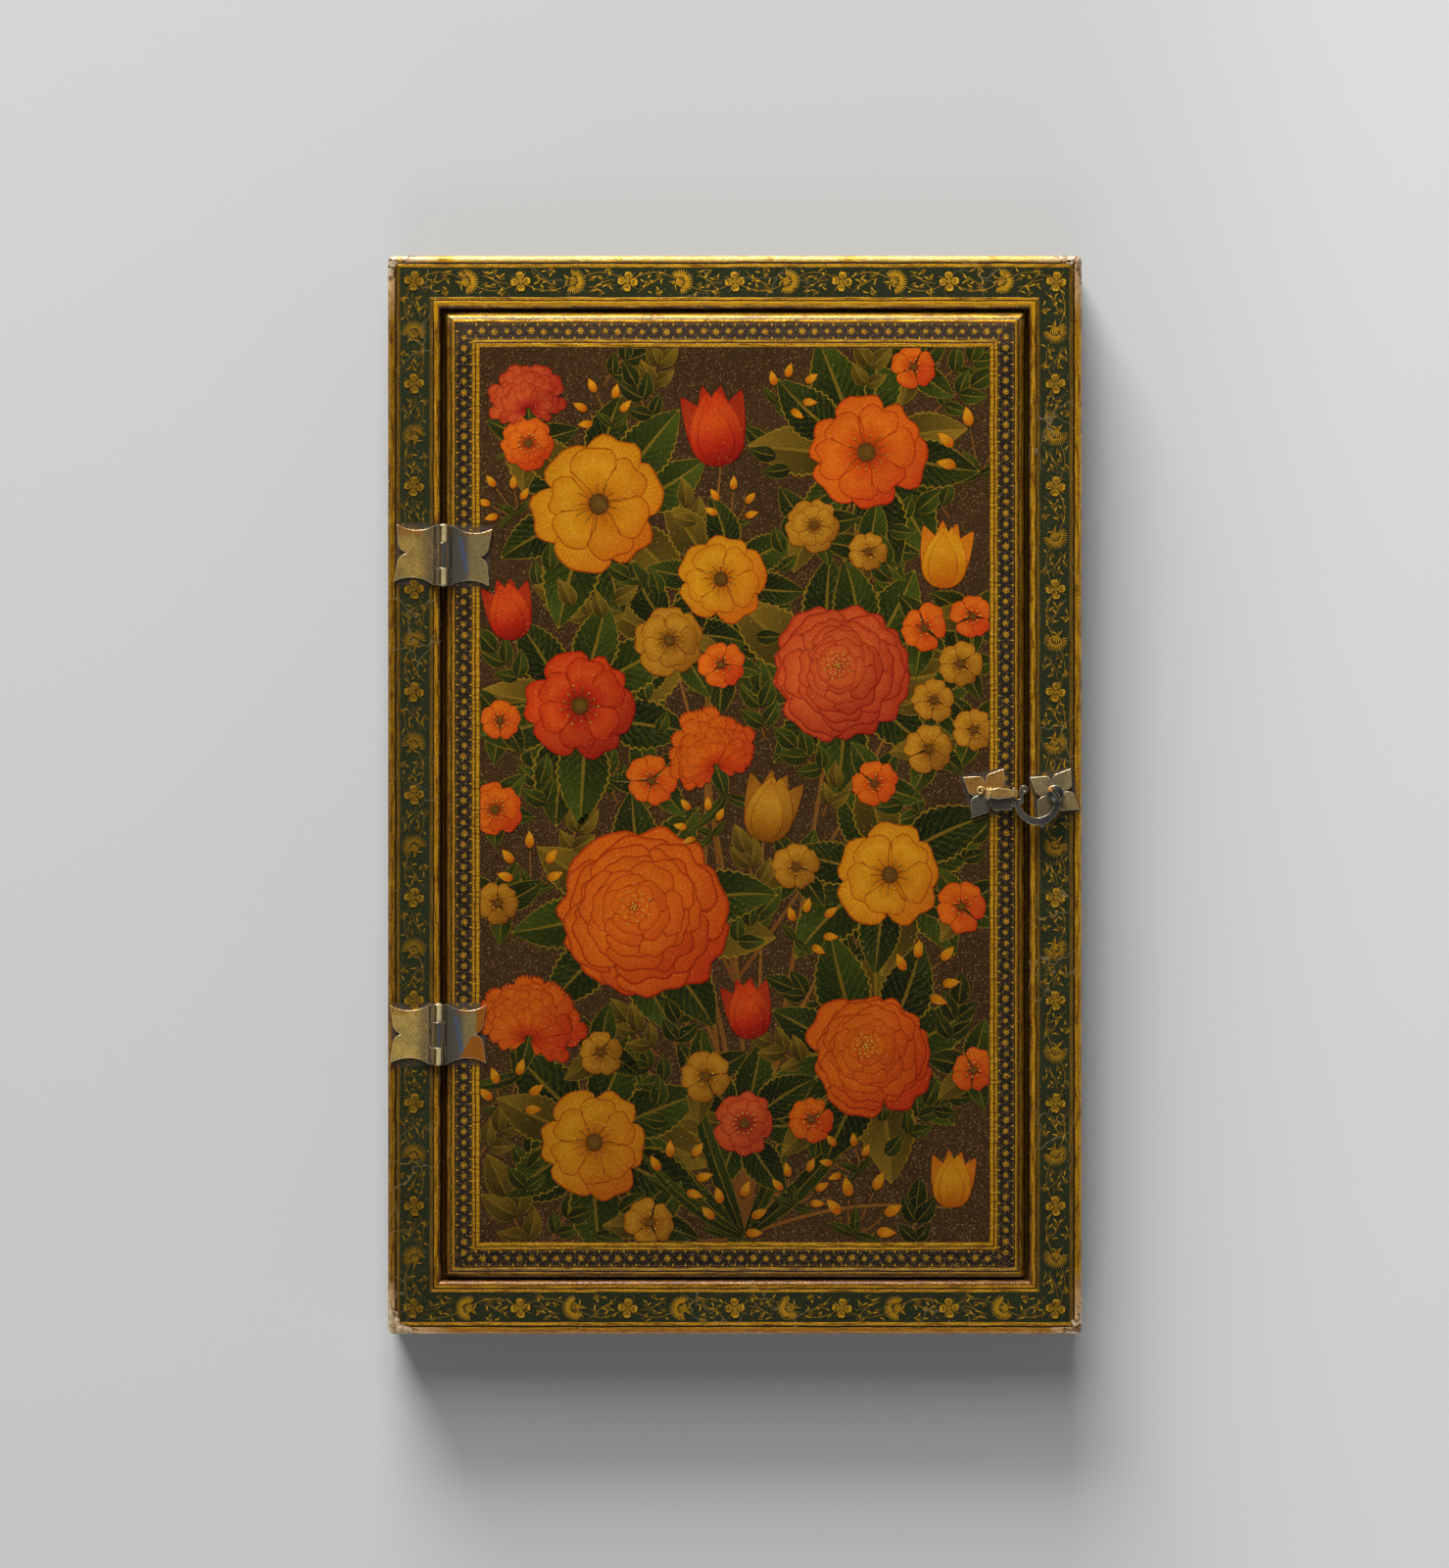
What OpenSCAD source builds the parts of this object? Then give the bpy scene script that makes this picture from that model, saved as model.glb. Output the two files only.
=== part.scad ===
// Lacquered mirror case: a shallow framed box with a looking glass, and a door that folds over it.
// The case lies on its back, its door facing +Z and the hinges at -X. Lengths are in millimetres.
// The origin is the middle of the back face.

/* [Case] */
// Width of the case over its side rails
case_w = 148; // [120:1:180]
// Height of the case over its top and bottom rails
case_h = 230; // [190:1:280]
// Thickness of the board that closes the back
back_t = 3.6; // [2.4:0.1:6]
// Width of the frame's rails
rail_w = 11.5; // [10.5:0.5:15]
// Radius of the four upright corners
corner_r = 1.6; // [0.8:0.1:3]
// Rounding of the rails' outer top edge
outer_edge_r = 1.2; // [0.5:0.1:2]
// Rounding of the rails' inner top edge
inner_edge_r = 1.3; // [0.4:0.1:2.4]
// Rounding of the back board's rear edge
back_edge_r = 1; // [0.4:0.1:1.6]

/* [Mirror] */
// Thickness of the paper laid under the glass
backing_t = 0.6; // [0.3:0.1:1.2]
// Thickness of the mirror glass
glass_t = 2.8; // [2:0.1:4]
// Gap between the glass and the rails
glass_gap = 0.4; // [0.2:0.1:0.8]
// Width of the ground bevel along the glass's edge
glass_bevel = 0.8; // [0.3:0.1:1.2]
// Width of the slips that hold the glass down
slip_w = 6; // [4.5:0.5:7]
// Height of the slips, on which the door comes to rest
slip_h = 5; // [4.4:0.1:7]
// Radius of the hollow moulded along each slip
slip_cove_r = 3.4; // [2:0.1:3.8]

/* [Door] */
// Thickness of the door board
door_t = 5.8; // [4.6:0.1:7]
// Gap between the door and the rails
door_gap = 0.45; // [0.3:0.05:0.8]
// Gap between the closed door and the slips
door_rest_gap = 0.2; // [0.1:0.05:0.4]
// Rounding along the edge of the door's face
door_edge_r = 2.6; // [1.6:0.1:3.6]
// Radius of the door's corners
door_corner_r = 2; // [1:0.1:3]

/* [Hinges] */
// Distance between the middles of the two hinges
hinge_spread = 102; // [70:1:130]
// Lean of the hinge line, towards the door at the top, in degrees
hinge_lean = 0.6; // [0:0.1:1]
// Turn of the upper hinge's plates on their barrel, in degrees
upper_leaf_turn = -2.5; // [-4:0.5:4]
// Turn of the lower hinge's plates on their barrel, in degrees
lower_leaf_turn = 0.5; // [-4:0.5:4]
// Height of the hinge line above the face of the case
hinge_rise = 1.45; // [1.45:0.05:1.7]
// Distance of the hinge line from the rail's inner edge, towards the rail
hinge_offset = 0.2; // [-0.2:0.1:0.4]
// Outer diameter of the barrels
barrel_d = 2.8; // [2.4:0.1:2.8]
// Length of a barrel
barrel_l = 12.8; // [11:0.2:16]
// Length of the middle knuckle, which is the door's
knuckle_l = 5.2; // [3.5:0.1:6]
// Gap between neighbouring knuckles, and round them
knuckle_gap = 0.15; // [0.1:0.05:0.25]
// Diameter of the hinge pins
pin_d = 1.1; // [0.8:0.1:1.4]
// Radial play of the pins in their knuckles
pin_play = 0.04; // [0.02:0.01:0.08]
// Height of a pin's domed head
pin_head_t = 0.25; // [0.2:0.05:0.6]
// Thickness of the hinge plates
leaf_t = 0.6; // [0.4:0.05:0.8]
// Reach of a plate from the hinge line to its tips
leaf_l = 10.2; // [8.5:0.1:11]
// How far a plate's tips lie inside the ends of its barrel
tip_drop = 0.2; // [0.1:0.05:1]
// How far a plate's waist lies inside the ends of its barrel
waist_drop = 1.35; // [1.2:0.05:2]
// Distance of the waist from the hinge line
leaf_waist_x = 6.2; // [5:0.1:7]
// Radius of the sweep by which a plate climbs to its barrel
leaf_sweep_r = 6; // [4:0.5:9]
// Distance from the hinge line at which that sweep begins
leaf_sweep_x = 4.4; // [3.5:0.1:5]
// Depth of the cusped notch in a plate's end
leaf_notch = 2.6; // [1.5:0.1:3.2]
// How far the lobes fall back behind the tips
leaf_flare = 0.5; // [0.2:0.05:0.8]
// Diameter of the spikes soldered under the plates
spike_d = 1.2; // [0.8:0.1:1.6]
// Length of those spikes
spike_l = 4; // [2.5:0.1:4.4]
// Radial play of the spikes and the latch pins in their holes
hole_play = 0.05; // [0.02:0.01:0.1]

/* [Latch] */
// Height of the latch above the middle of the case
latch_y = 0.3; // [-20:0.1:20]
// Distance of the hook's pivot from the side of the case
hook_inset = 5.9; // [5:0.1:7]
// Distance of the catch from the door's edge
catch_inset = 8.2; // [7.6:0.1:9]
// Half the diagonal of the four-petalled plates
rosette_r = 6.3; // [5:0.1:7]
// Thickness of those plates
rosette_t = 0.5; // [0.4:0.05:0.8]
// Radius to which the plates are bowed
rosette_bow_r = 30; // [20:1:60]
// Depth of the notches between the petals
rosette_notch = 2.6; // [1.5:0.1:3]
// Turn of the plates from the square, in degrees
rosette_turn = 12; // [0:1:20]
// Thickness of the strip that the catch is bent from
strip_t = 0.45; // [0.3:0.05:0.6]
// Width of that strip where it is broadest, a third of the way along
strip_w = 2.4; // [1.6:0.1:3]
// Width of that strip where it bends round the hook
strip_end_w = 1.2; // [1:0.1:2]
// Length of the catch's loop from its legs
loop_l = 6.5; // [5.5:0.1:7.5]
// Width of the catch's legs
leg_w = 1.4; // [1:0.1:1.6]
// Length of the legs where they are turned over behind the door
clench_l = 2; // [1.2:0.1:2]
// Thickness of the hook
hook_t = 1; // [0.7:0.1:1.4]
// Width of the hook's bow
hook_w = 1; // [0.7:0.1:1.3]
// Extra width of the bow at its lowest point
bow_swell = 0.6; // [0:0.05:0.8]
// Drop of the bow below the line from the pivot to the fork
hook_sag = 5.5; // [4.5:0.1:6.5]
// Drop of the fork's foot below the pivot
fork_drop = 1.6; // [1.5:0.1:2]
// Width of the prong that goes through the catch
prong_w = 0.65; // [0.5:0.05:0.8]
// Gap between the hook and the catch
latch_gap = 0.25; // [0.2:0.05:0.35]
// Diameter of the hook's pivot
pivot_d = 1.6; // [1.2:0.1:1.8]
// Diameter of the pivot's head
pivot_head_d = 3.6; // [2.8:0.1:3.8]
// Height of the pivot's head
pivot_head_t = 1; // [0.6:0.1:1.4]
// Width of the split across that head
split_w = 0.5; // [0.3:0.05:0.7]
// Turn of the split from the line of the hook's pivot and the catch, in degrees
split_turn = 125; // [0:5:180]
// Depth to which the pivot is driven into the rail
pivot_depth = 7; // [5:0.5:9]

/* [Hidden] */
$fn = 48;

// How far a cutting shape runs past the face it cuts
over = 1;
// Radius of a cusped end's lobes over the depth of the notch between them
lobe_fullness = 1.15;
// Half the gap between neighbouring petals, the radius of a petal's shoulder as a share of the notch,
// how far a shoulder turns, and its straight steps
petal_gap = 0.15;
shoulder_share = 0.5;
shoulder_sweep = 75;
shoulder_steps = 7;

lacquer_green = "#2f3a20";
lacquer_brown = "#4a3018";
gilding = "#b8862c";
brass = "#b59a5a";
steel = "#70695c";
paper = "#cfc4a6";
silvered = "#c9d2d4";

// Levels, from the back upwards
glass_z = back_t + backing_t;
slip_z = glass_z + glass_t;
door_z = slip_z + slip_h + door_rest_gap;
face_z = door_z + door_t;
rail_h = face_z - back_t;

// The opening inside the rails, and what lies in it
open_w = case_w - 2 * rail_w;
open_h = case_h - 2 * rail_w;
door_w = open_w - 2 * door_gap;
door_h = open_h - 2 * door_gap;

// The hinge line, through the middles of both barrels
hinge_x = -open_w / 2 - hinge_offset;
hinge_z = face_z + hinge_rise;
barrel_r = barrel_d / 2;
bore_r = pin_d / 2 + pin_play;
leaf_tip = barrel_l / 2 - tip_drop;
leaf_waist = barrel_l / 2 - waist_drop;

// The latch: the catch stands on the door, and the hook turns on the rail
catch_x = door_w / 2 - catch_inset;
hook_x = case_w / 2 - hook_inset;
rosette_rise = rosette_bow_r - sqrt(pow(rosette_bow_r, 2) - pow(rosette_r, 2));
rosette_top = face_z + rosette_rise + rosette_t;
bend_x = catch_x + loop_l - strip_t / 2;
reach = hook_x - bend_x;
hook_z = rosette_top + strip_t + latch_gap;
loop_in = hook_t + 2 * latch_gap;
running_gap = 0.05;
slit_w = strip_t + 2 * latch_gap;

// Plain shapes

// A rectangle of w by h about the origin, with its corners rounded to r
module rounded_rect(w, h, r) {
  square([w - 2 * r, h], center = true);
  square([w, h - 2 * r], center = true);
  for (sx = [-1, 1], sy = [-1, 1])
    translate([sx * (w / 2 - r), sy * (h / 2 - r)])
      circle(r);
}

// What rounding to r takes off a square corner that stands at the origin and fills -x, -y
module corner_waste(r) {
  difference() {
    translate([-r, -r])
      square(r + over);
    translate([-r, -r])
      circle(r);
  }
}

// A length of moulding along x, of the section given as children, mitred at both ends.
// The section's x is measured inwards from the outer edge, which is as long as the moulding.
module mitred(length, w) {
  intersection() {
    rotate([90, 0, 90])
      linear_extrude(length, center = true)
        children();
    linear_extrude(3 * rail_h, center = true)
      polygon([[-length / 2, 0], [length / 2, 0], [length / 2 - w, w], [w - length / 2, w]]);
  }
}

// Sets a moulding that lies along x, with its inside at +y, on one side of a w by h frame
module on_side(side, w, h) {
  angle = side == "bottom" ? 0 : side == "right" ? 90 : side == "top" ? 180 : 270;
  out = (side == "bottom" || side == "top") ? h / 2 : w / 2;
  rotate(angle)
    translate([0, -out])
      children();
}

// A cusped end: what is cut off beyond x = 0 to leave two round lobes between two tips
module cusp_waste(tip, notch, flare) {
  lobe_r = (notch - flare) * lobe_fullness;
  behind = lobe_r - (notch - flare);
  lobe_y = sqrt(pow(lobe_r, 2) - pow(behind, 2));
  past = over * flare / (tip - lobe_y);
  polygon([
    [past, tip + over], [past + over, tip + over], [past + over, -tip - over], [past, -tip - over],
    [-flare, -lobe_y], [-flare, lobe_y]
  ]);
  difference() {
    translate([-notch, -lobe_y])
      square([notch - flare, 2 * lobe_y]);
    for (s = [-1, 1])
      translate([-notch - behind, s * lobe_y])
        circle(lobe_r);
  }
}

// Case: a back board and four mitred rails

module back_board() {
  color(lacquer_brown)
    difference() {
      linear_extrude(back_t)
        rounded_rect(case_w, case_h, corner_r);
      for (turn = [0, 180]) {
        rotate(turn)
          translate([case_w / 2, 0, 0])
            rotate([-90, 0, 0])
              linear_extrude(case_h + over, center = true)
                corner_waste(back_edge_r);
        rotate(turn)
          translate([0, case_h / 2, 0])
            rotate([90, 180, 90])
              linear_extrude(case_w + over, center = true)
                mirror([1, 0])
                  corner_waste(back_edge_r);
      }
    }
}

module rail_section() {
  difference() {
    square([rail_w, rail_h]);
    translate([0, rail_h])
      mirror([1, 0])
        corner_waste(outer_edge_r);
    translate([rail_w, rail_h])
      corner_waste(inner_edge_r);
  }
}

module rail(side) {
  length = (side == "bottom" || side == "top") ? case_w : case_h;
  color(lacquer_green)
    intersection() {
      translate([0, 0, back_t])
        on_side(side, case_w, case_h)
          mitred(length, rail_w)
            rail_section();
      linear_extrude(face_z)
        rounded_rect(case_w, case_h, corner_r);
    }
}

module rail_left() {
  difference() {
    rail("left");
    hinge_place("upper")
      spike_holes(-1, upper_leaf_turn);
    hinge_place("lower")
      spike_holes(-1, lower_leaf_turn);
  }
}

module rail_right() {
  difference() {
    rail("right");
    translate([hook_x, latch_y, face_z - pivot_depth])
      cylinder(h = pivot_depth + over, r = pivot_d / 2 + hole_play);
  }
}

// Mirror: paper, glass, and the coved slips that hold them and stop the door

module mirror_backing() {
  color(paper)
    translate([0, 0, back_t])
      linear_extrude(backing_t)
        square([open_w - 2 * glass_gap, open_h - 2 * glass_gap], center = true);
}

// The glass's section across a width w, its upper edges ground to a bevel
module glass_section(w) {
  polygon([
    [-w / 2, 0], [w / 2, 0],
    [w / 2, glass_t - glass_bevel / 2], [w / 2 - glass_bevel, glass_t],
    [glass_bevel - w / 2, glass_t], [-w / 2, glass_t - glass_bevel / 2]
  ]);
}

module mirror_glass() {
  glass_w = open_w - 2 * glass_gap;
  glass_h = open_h - 2 * glass_gap;
  color(silvered)
    translate([0, 0, glass_z])
      intersection() {
        rotate([90, 0, 0])
          linear_extrude(glass_h, center = true)
            glass_section(glass_w);
        rotate([90, 0, 90])
          linear_extrude(glass_w, center = true)
            glass_section(glass_h);
      }
}

module slip_section() {
  difference() {
    square([slip_w, slip_h]);
    translate([slip_w, slip_h])
      circle(slip_cove_r);
  }
}

module slip(side) {
  length = (side == "bottom" || side == "top") ? open_w : open_h;
  color(gilding)
    translate([0, 0, slip_z])
      on_side(side, open_w, open_h)
        mitred(length, slip_w)
          slip_section();
}

// Door: one board with a rounded face

module door_section(w) {
  difference() {
    translate([-w / 2, 0])
      square([w, door_t]);
    for (s = [0, 1])
      mirror([s, 0])
        translate([w / 2, door_t])
          corner_waste(door_edge_r);
  }
}

module door_board() {
  color(lacquer_brown)
    difference() {
      translate([0, 0, door_z])
        intersection() {
          rotate([90, 0, 0])
            linear_extrude(door_h, center = true)
              door_section(door_w);
          rotate([90, 0, 90])
            linear_extrude(door_w, center = true)
              door_section(door_h);
          linear_extrude(door_t)
            rounded_rect(door_w, door_h, door_corner_r);
        }
      hinge_place("upper")
        spike_holes(1, upper_leaf_turn);
      hinge_place("lower")
        spike_holes(1, lower_leaf_turn);
      translate([catch_x, latch_y, face_z])
        cube([2 * (strip_t + hole_play), leg_w + 2 * hole_play, 3 * door_t], center = true);
    }
}

// Hinges: two scalloped plates that meet in a barrel on a pin. The frame's plate has the two outer
// knuckles and the door's the middle one.

// Puts a hinge on the hinge line, whose middle is level with the middle of the case.
// There y runs along the barrel, z = 0 is the face of the case, and +x is the door's side.
module hinge_place(which) {
  translate([hinge_x, 0, face_z])
    rotate(-hinge_lean)
      translate([0, (which == "upper" ? 1 : -1) * hinge_spread / 2, 0])
        children();
}

// A cylinder along the hinge line, from y0 to y1
module along_barrel(r, y0, y1) {
  translate([0, y1, hinge_rise])
    rotate([90, 0, 0])
      cylinder(h = y1 - y0, r = r);
}

module leaf_outline() {
  scallop_x = leaf_l - leaf_waist_x;
  scallop_d = leaf_tip - leaf_waist;
  scallop_r = (pow(scallop_x, 2) + pow(scallop_d, 2)) / (2 * scallop_d);
  difference() {
    translate([0, -barrel_l / 2])
      square([leaf_l + over / 2, barrel_l]);
    for (s = [-1, 1])
      translate([leaf_waist_x, s * (leaf_waist + scallop_r)])
        circle(scallop_r, $fn = 96);
    translate([leaf_l, 0])
      cusp_waste(leaf_tip, leaf_notch, leaf_flare);
  }
}

// The plate's section across the barrel: flat on the face, then sweeping up to the hinge line
module leaf_section() {
  translate([leaf_sweep_x, 0])
    square([leaf_l + over - leaf_sweep_x, leaf_t]);
  intersection() {
    translate([leaf_sweep_x, leaf_t + leaf_sweep_r])
      difference() {
        circle(leaf_sweep_r + leaf_t, $fn = 96);
        circle(leaf_sweep_r, $fn = 96);
      }
    translate([barrel_r / 2, 0])
      square([leaf_sweep_x - barrel_r / 2, leaf_sweep_r / 2]);
  }
}

module leaf_plate(turn) {
  intersection() {
    rotate([90, 0, 0])
      linear_extrude(barrel_l, center = true)
        leaf_section();
    translate([0, 0, -over])
      linear_extrude(leaf_sweep_r + over)
        rotate(turn)
          leaf_outline();
  }
}

// Where a plate's two spikes stand, on the plate's own side
module spike_places(turn) {
  rotate(turn)
    for (s = [-1, 1])
      translate([leaf_waist_x, s * leaf_waist / 2, -spike_l])
        children();
}

module spike_holes(side, turn) {
  mirror([side < 0 ? 1 : 0, 0, 0])
    spike_places(side * turn)
      cylinder(h = spike_l + over, r = spike_d / 2 + hole_play);
}

// A plate on the side given, -1 for the frame's and 1 for the door's
module leaf(side, turn) {
  half = barrel_l / 2;
  mid = knuckle_l / 2;
  own = side > 0 ? [[-mid, mid]] : [[-half, -mid - knuckle_gap], [mid + knuckle_gap, half]];
  others = side > 0 ? [[-half - over, -mid], [mid, half + over]] : [[-mid - knuckle_gap, mid + knuckle_gap]];
  difference() {
    union() {
      difference() {
        mirror([side < 0 ? 1 : 0, 0, 0])
          union() {
            leaf_plate(side * turn);
            spike_places(side * turn)
              cylinder(h = spike_l + leaf_t / 2, r = spike_d / 2);
          }
        for (span = others)
          along_barrel(barrel_r + knuckle_gap, span[0], span[1]);
      }
      for (span = own)
        along_barrel(barrel_r, span[0], span[1]);
    }
    along_barrel(bore_r, -half - over, half + over);
  }
}

module frame_leaf(which, turn) {
  color(brass)
    hinge_place(which)
      leaf(-1, turn);
}

module door_leaf(which, turn) {
  color(brass)
    hinge_place(which)
      leaf(1, turn);
}

// A pin with a low domed head at each end, outside the barrel
module hinge_pin(which) {
  head_r = (barrel_r + bore_r) / 2;
  half = barrel_l / 2 + running_gap;
  color(brass)
    hinge_place(which)
      translate([0, 0, hinge_rise])
        rotate([90, 0, 0])
          rotate_extrude()
            union() {
              translate([0, -half])
                square([pin_d / 2, 2 * half]);
              for (s = [0, 1])
                mirror([0, s])
                  translate([0, half])
                    intersection() {
                      square([head_r, pin_head_t]);
                      translate([0, pin_head_t - dome_r(head_r, pin_head_t)])
                        circle(dome_r(head_r, pin_head_t));
                    }
            }
}

// Radius of a dome that is w wide from its middle and h high
function dome_r(w, h) = (w * w + h * h) / (2 * h);

// Latch: a hook that turns on one rosette, and a catch that is clenched through the other

// A square with a narrow notch in the middle of each side, which leaves four pointed petals.
// A side runs from a tip round the lower petal's shoulder to its notch, and back out round the upper one's.
module rosette_outline() {
  half = rosette_r / sqrt(2);
  flare = rosette_notch / 6;
  shoulder_r = rosette_notch * shoulder_share;
  shoulder = [half - flare - shoulder_r, shoulder_r + petal_gap];
  turns = [for (i = [0:shoulder_steps]) i * shoulder_sweep / shoulder_steps];
  lower = [for (a = turns) [shoulder[0] + shoulder_r * cos(a), shoulder_r * sin(a) - shoulder[1]]];
  side = concat(
    [[half, -half]],
    lower,
    [[half - rosette_notch, 0]],
    [for (i = [shoulder_steps:-1:0]) [lower[i][0], -lower[i][1]]]
  );
  polygon([
    for (turn = [0, 90, 180, 270], p = side)
      [p[0] * cos(turn) - p[1] * sin(turn), p[0] * sin(turn) + p[1] * cos(turn)]
  ]);
}

// A four-petalled plate, bowed so that it stands on its tips, with a hole for what goes through it
module rosette() {
  difference() {
    intersection() {
      translate([0, 0, -over])
        linear_extrude(rosette_top)
          rotate(rosette_turn)
            rosette_outline();
      rotate([90, 0, 90])
        linear_extrude(3 * rosette_r, center = true)
          translate([0, rosette_rise - rosette_bow_r])
            intersection() {
              difference() {
                circle(rosette_bow_r + rosette_t, $fn = 240);
                circle(rosette_bow_r, $fn = 240);
              }
              translate([-rosette_bow_r, rosette_bow_r / 2])
                square(2 * rosette_bow_r);
            }
    }
    translate([0, 0, -over])
      children();
  }
}

module hook_rosette() {
  color(brass)
    translate([hook_x, latch_y, face_z])
      rosette()
        cylinder(h = rosette_top, r = pivot_d / 2 + hole_play);
}

module catch_rosette() {
  color(brass)
    translate([catch_x, latch_y, face_z])
      rosette()
        translate([-strip_t - hole_play, -leg_w / 2 - hole_play, 0])
          cube([2 * (strip_t + hole_play), leg_w + 2 * hole_play, rosette_top]);
}

// A stud with a shoulder under the hook and a grooved, domed head over it, split across like a cotter's
module hook_pivot() {
  head_r = pivot_head_d / 2;
  head_z = hook_z + hook_t + running_gap;
  groove = pivot_head_t / 6;
  color(steel)
    translate([hook_x, latch_y, 0])
      difference() {
        rotate_extrude()
          difference() {
            union() {
              translate([0, face_z - pivot_depth])
                square([pivot_d / 2, head_z - face_z + pivot_depth + pivot_head_t / 2]);
              translate([0, rosette_top + running_gap])
                square([head_r, hook_z - rosette_top - 2 * running_gap]);
              translate([0, head_z])
                square([head_r, pivot_head_t / 2]);
              translate([0, head_z + pivot_head_t / 2])
                intersection() {
                  square([head_r, pivot_head_t / 2]);
                  translate([0, pivot_head_t / 2 - dome_r(head_r, pivot_head_t / 2)])
                    circle(dome_r(head_r, pivot_head_t / 2), $fn = 96);
                }
            }
            translate([head_r, head_z + pivot_head_t / 4])
              circle(groove);
          }
        translate([0, 0, head_z + pivot_head_t])
          rotate(split_turn)
            cube([pivot_head_d + over, split_w, pivot_head_t], center = true);
      }
}

// The hook seen from above, its pivot at the origin and its fork towards -x
module hook_outline() {
  foot = [-reach, -fork_drop];
  chord = norm(foot);
  away = [foot[1], -foot[0]] / chord * (foot[0] < 0 ? -1 : 1);
  along = foot / chord;
  bow_r = (pow(hook_sag, 2) + pow(chord / 2, 2)) / (2 * hook_sag);
  bow_middle = foot / 2 + away * (hook_sag - bow_r);
  far = 2 * (hook_sag + chord);
  prong_x = -reach - (slit_w + prong_w) / 2;
  arm_x = -reach + (slit_w + hook_w * 0.7) / 2;
  bar_w = hook_w * 0.8;
  prong_top = strip_end_w / 2 + latch_gap;
  curl_r = hook_w * 0.85;

  // Eye
  circle(hook_w * 1.6);
  // Bow, the part of a ring that lies below the line from the pivot to the fork, thickest at its lowest point
  intersection() {
    difference() {
      translate(bow_middle)
        circle(bow_r + hook_w / 2);
      translate(bow_middle - away * bow_swell)
        circle(bow_r - hook_w / 2);
    }
    polygon([-along * far, along * far, (along + away) * far, (away - along) * far]);
  }
  // Foot of the fork, with a bead below its corner
  translate([prong_x - prong_w / 2, foot[1] - bar_w / 2])
    square([arm_x - prong_x + prong_w, bar_w]);
  translate([prong_x - prong_w / 4, foot[1] - bar_w])
    circle(hook_w * 0.45);
  // Prong
  translate([prong_x - prong_w / 2, foot[1]])
    square([prong_w, prong_top - foot[1]]);
  translate([prong_x, prong_top])
    circle(prong_w / 2);
  // Arm, with a curl for the finger
  translate([arm_x - hook_w * 0.35, foot[1]])
    square([hook_w * 0.7, prong_top - foot[1]]);
  translate([arm_x - hook_w * 0.35 + curl_r, prong_top])
    difference() {
      circle(curl_r);
      circle(curl_r * 0.4);
    }
  // Spur under the bow
  translate(bow_middle + away * (bow_r + hook_w * 0.6))
    circle(hook_w * 0.4);
}

module hook() {
  color(steel)
    translate([hook_x, latch_y, hook_z])
      linear_extrude(hook_t)
        difference() {
          hook_outline();
          circle(pivot_d / 2 + running_gap);
        }
}

// The catch's section: a strip doubled into a loop, with both ends going down through the door
// and turned over behind it. The middle of the legs is x = 0, and z = 0 is the face of the case.
module catch_section() {
  low = rosette_top - face_z;
  high = low + loop_in + 2 * strip_t;
  end_r = loop_in / 2 + strip_t;
  behind = -door_t - strip_t;
  // Loop
  difference() {
    union() {
      translate([-strip_t, low])
        square([loop_l + strip_t - end_r, high - low]);
      translate([loop_l - end_r, low + end_r])
        circle(end_r);
    }
    translate([0, low + strip_t])
      square([loop_l - end_r, loop_in]);
    translate([loop_l - end_r, low + end_r])
      circle(loop_in / 2);
  }
  // Legs
  translate([-strip_t, behind])
    square([2 * strip_t, low + strip_t - behind]);
  // Turned ends
  translate([-strip_t - clench_l, behind])
    square([2 * (clench_l + strip_t), strip_t]);
}

module catch_staple() {
  color(steel)
    translate([catch_x, latch_y, face_z])
      intersection() {
        rotate([90, 0, 0])
          linear_extrude(strip_w, center = true)
            catch_section();
        union() {
          // Above the rosette, the strip swells like a leaf and narrows towards its bend
          translate([0, 0, rosette_top - face_z])
            linear_extrude(rosette_top)
              polygon([
                [-strip_t - over, -leg_w / 2], [0, -leg_w / 2], [loop_l / 3, -strip_w / 2],
                [loop_l, -strip_end_w / 2], [loop_l, strip_end_w / 2],
                [loop_l / 3, strip_w / 2], [0, leg_w / 2], [-strip_t - over, leg_w / 2]
              ]);
          // Below it, the legs
          translate([-strip_t - clench_l - over, -leg_w / 2, -2 * door_t])
            cube([2 * (strip_t + clench_l + over), leg_w, 2 * door_t + rosette_top - face_z + strip_t / 2]);
        }
      }
}

back_board();
rail("top");  // rail_top
rail("bottom");  // rail_bottom
rail_left();
rail_right();
mirror_backing();
mirror_glass();
slip("top");  // slip_top
slip("bottom");  // slip_bottom
slip("left");  // slip_left
slip("right");  // slip_right
door_board();
frame_leaf("upper", upper_leaf_turn);  // upper_hinge_frame_leaf
door_leaf("upper", upper_leaf_turn);  // upper_hinge_door_leaf
hinge_pin("upper");  // upper_hinge_pin
frame_leaf("lower", lower_leaf_turn);  // lower_hinge_frame_leaf
door_leaf("lower", lower_leaf_turn);  // lower_hinge_door_leaf
hinge_pin("lower");  // lower_hinge_pin
hook_rosette();
hook_pivot();
hook();
catch_rosette();
catch_staple();
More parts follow.
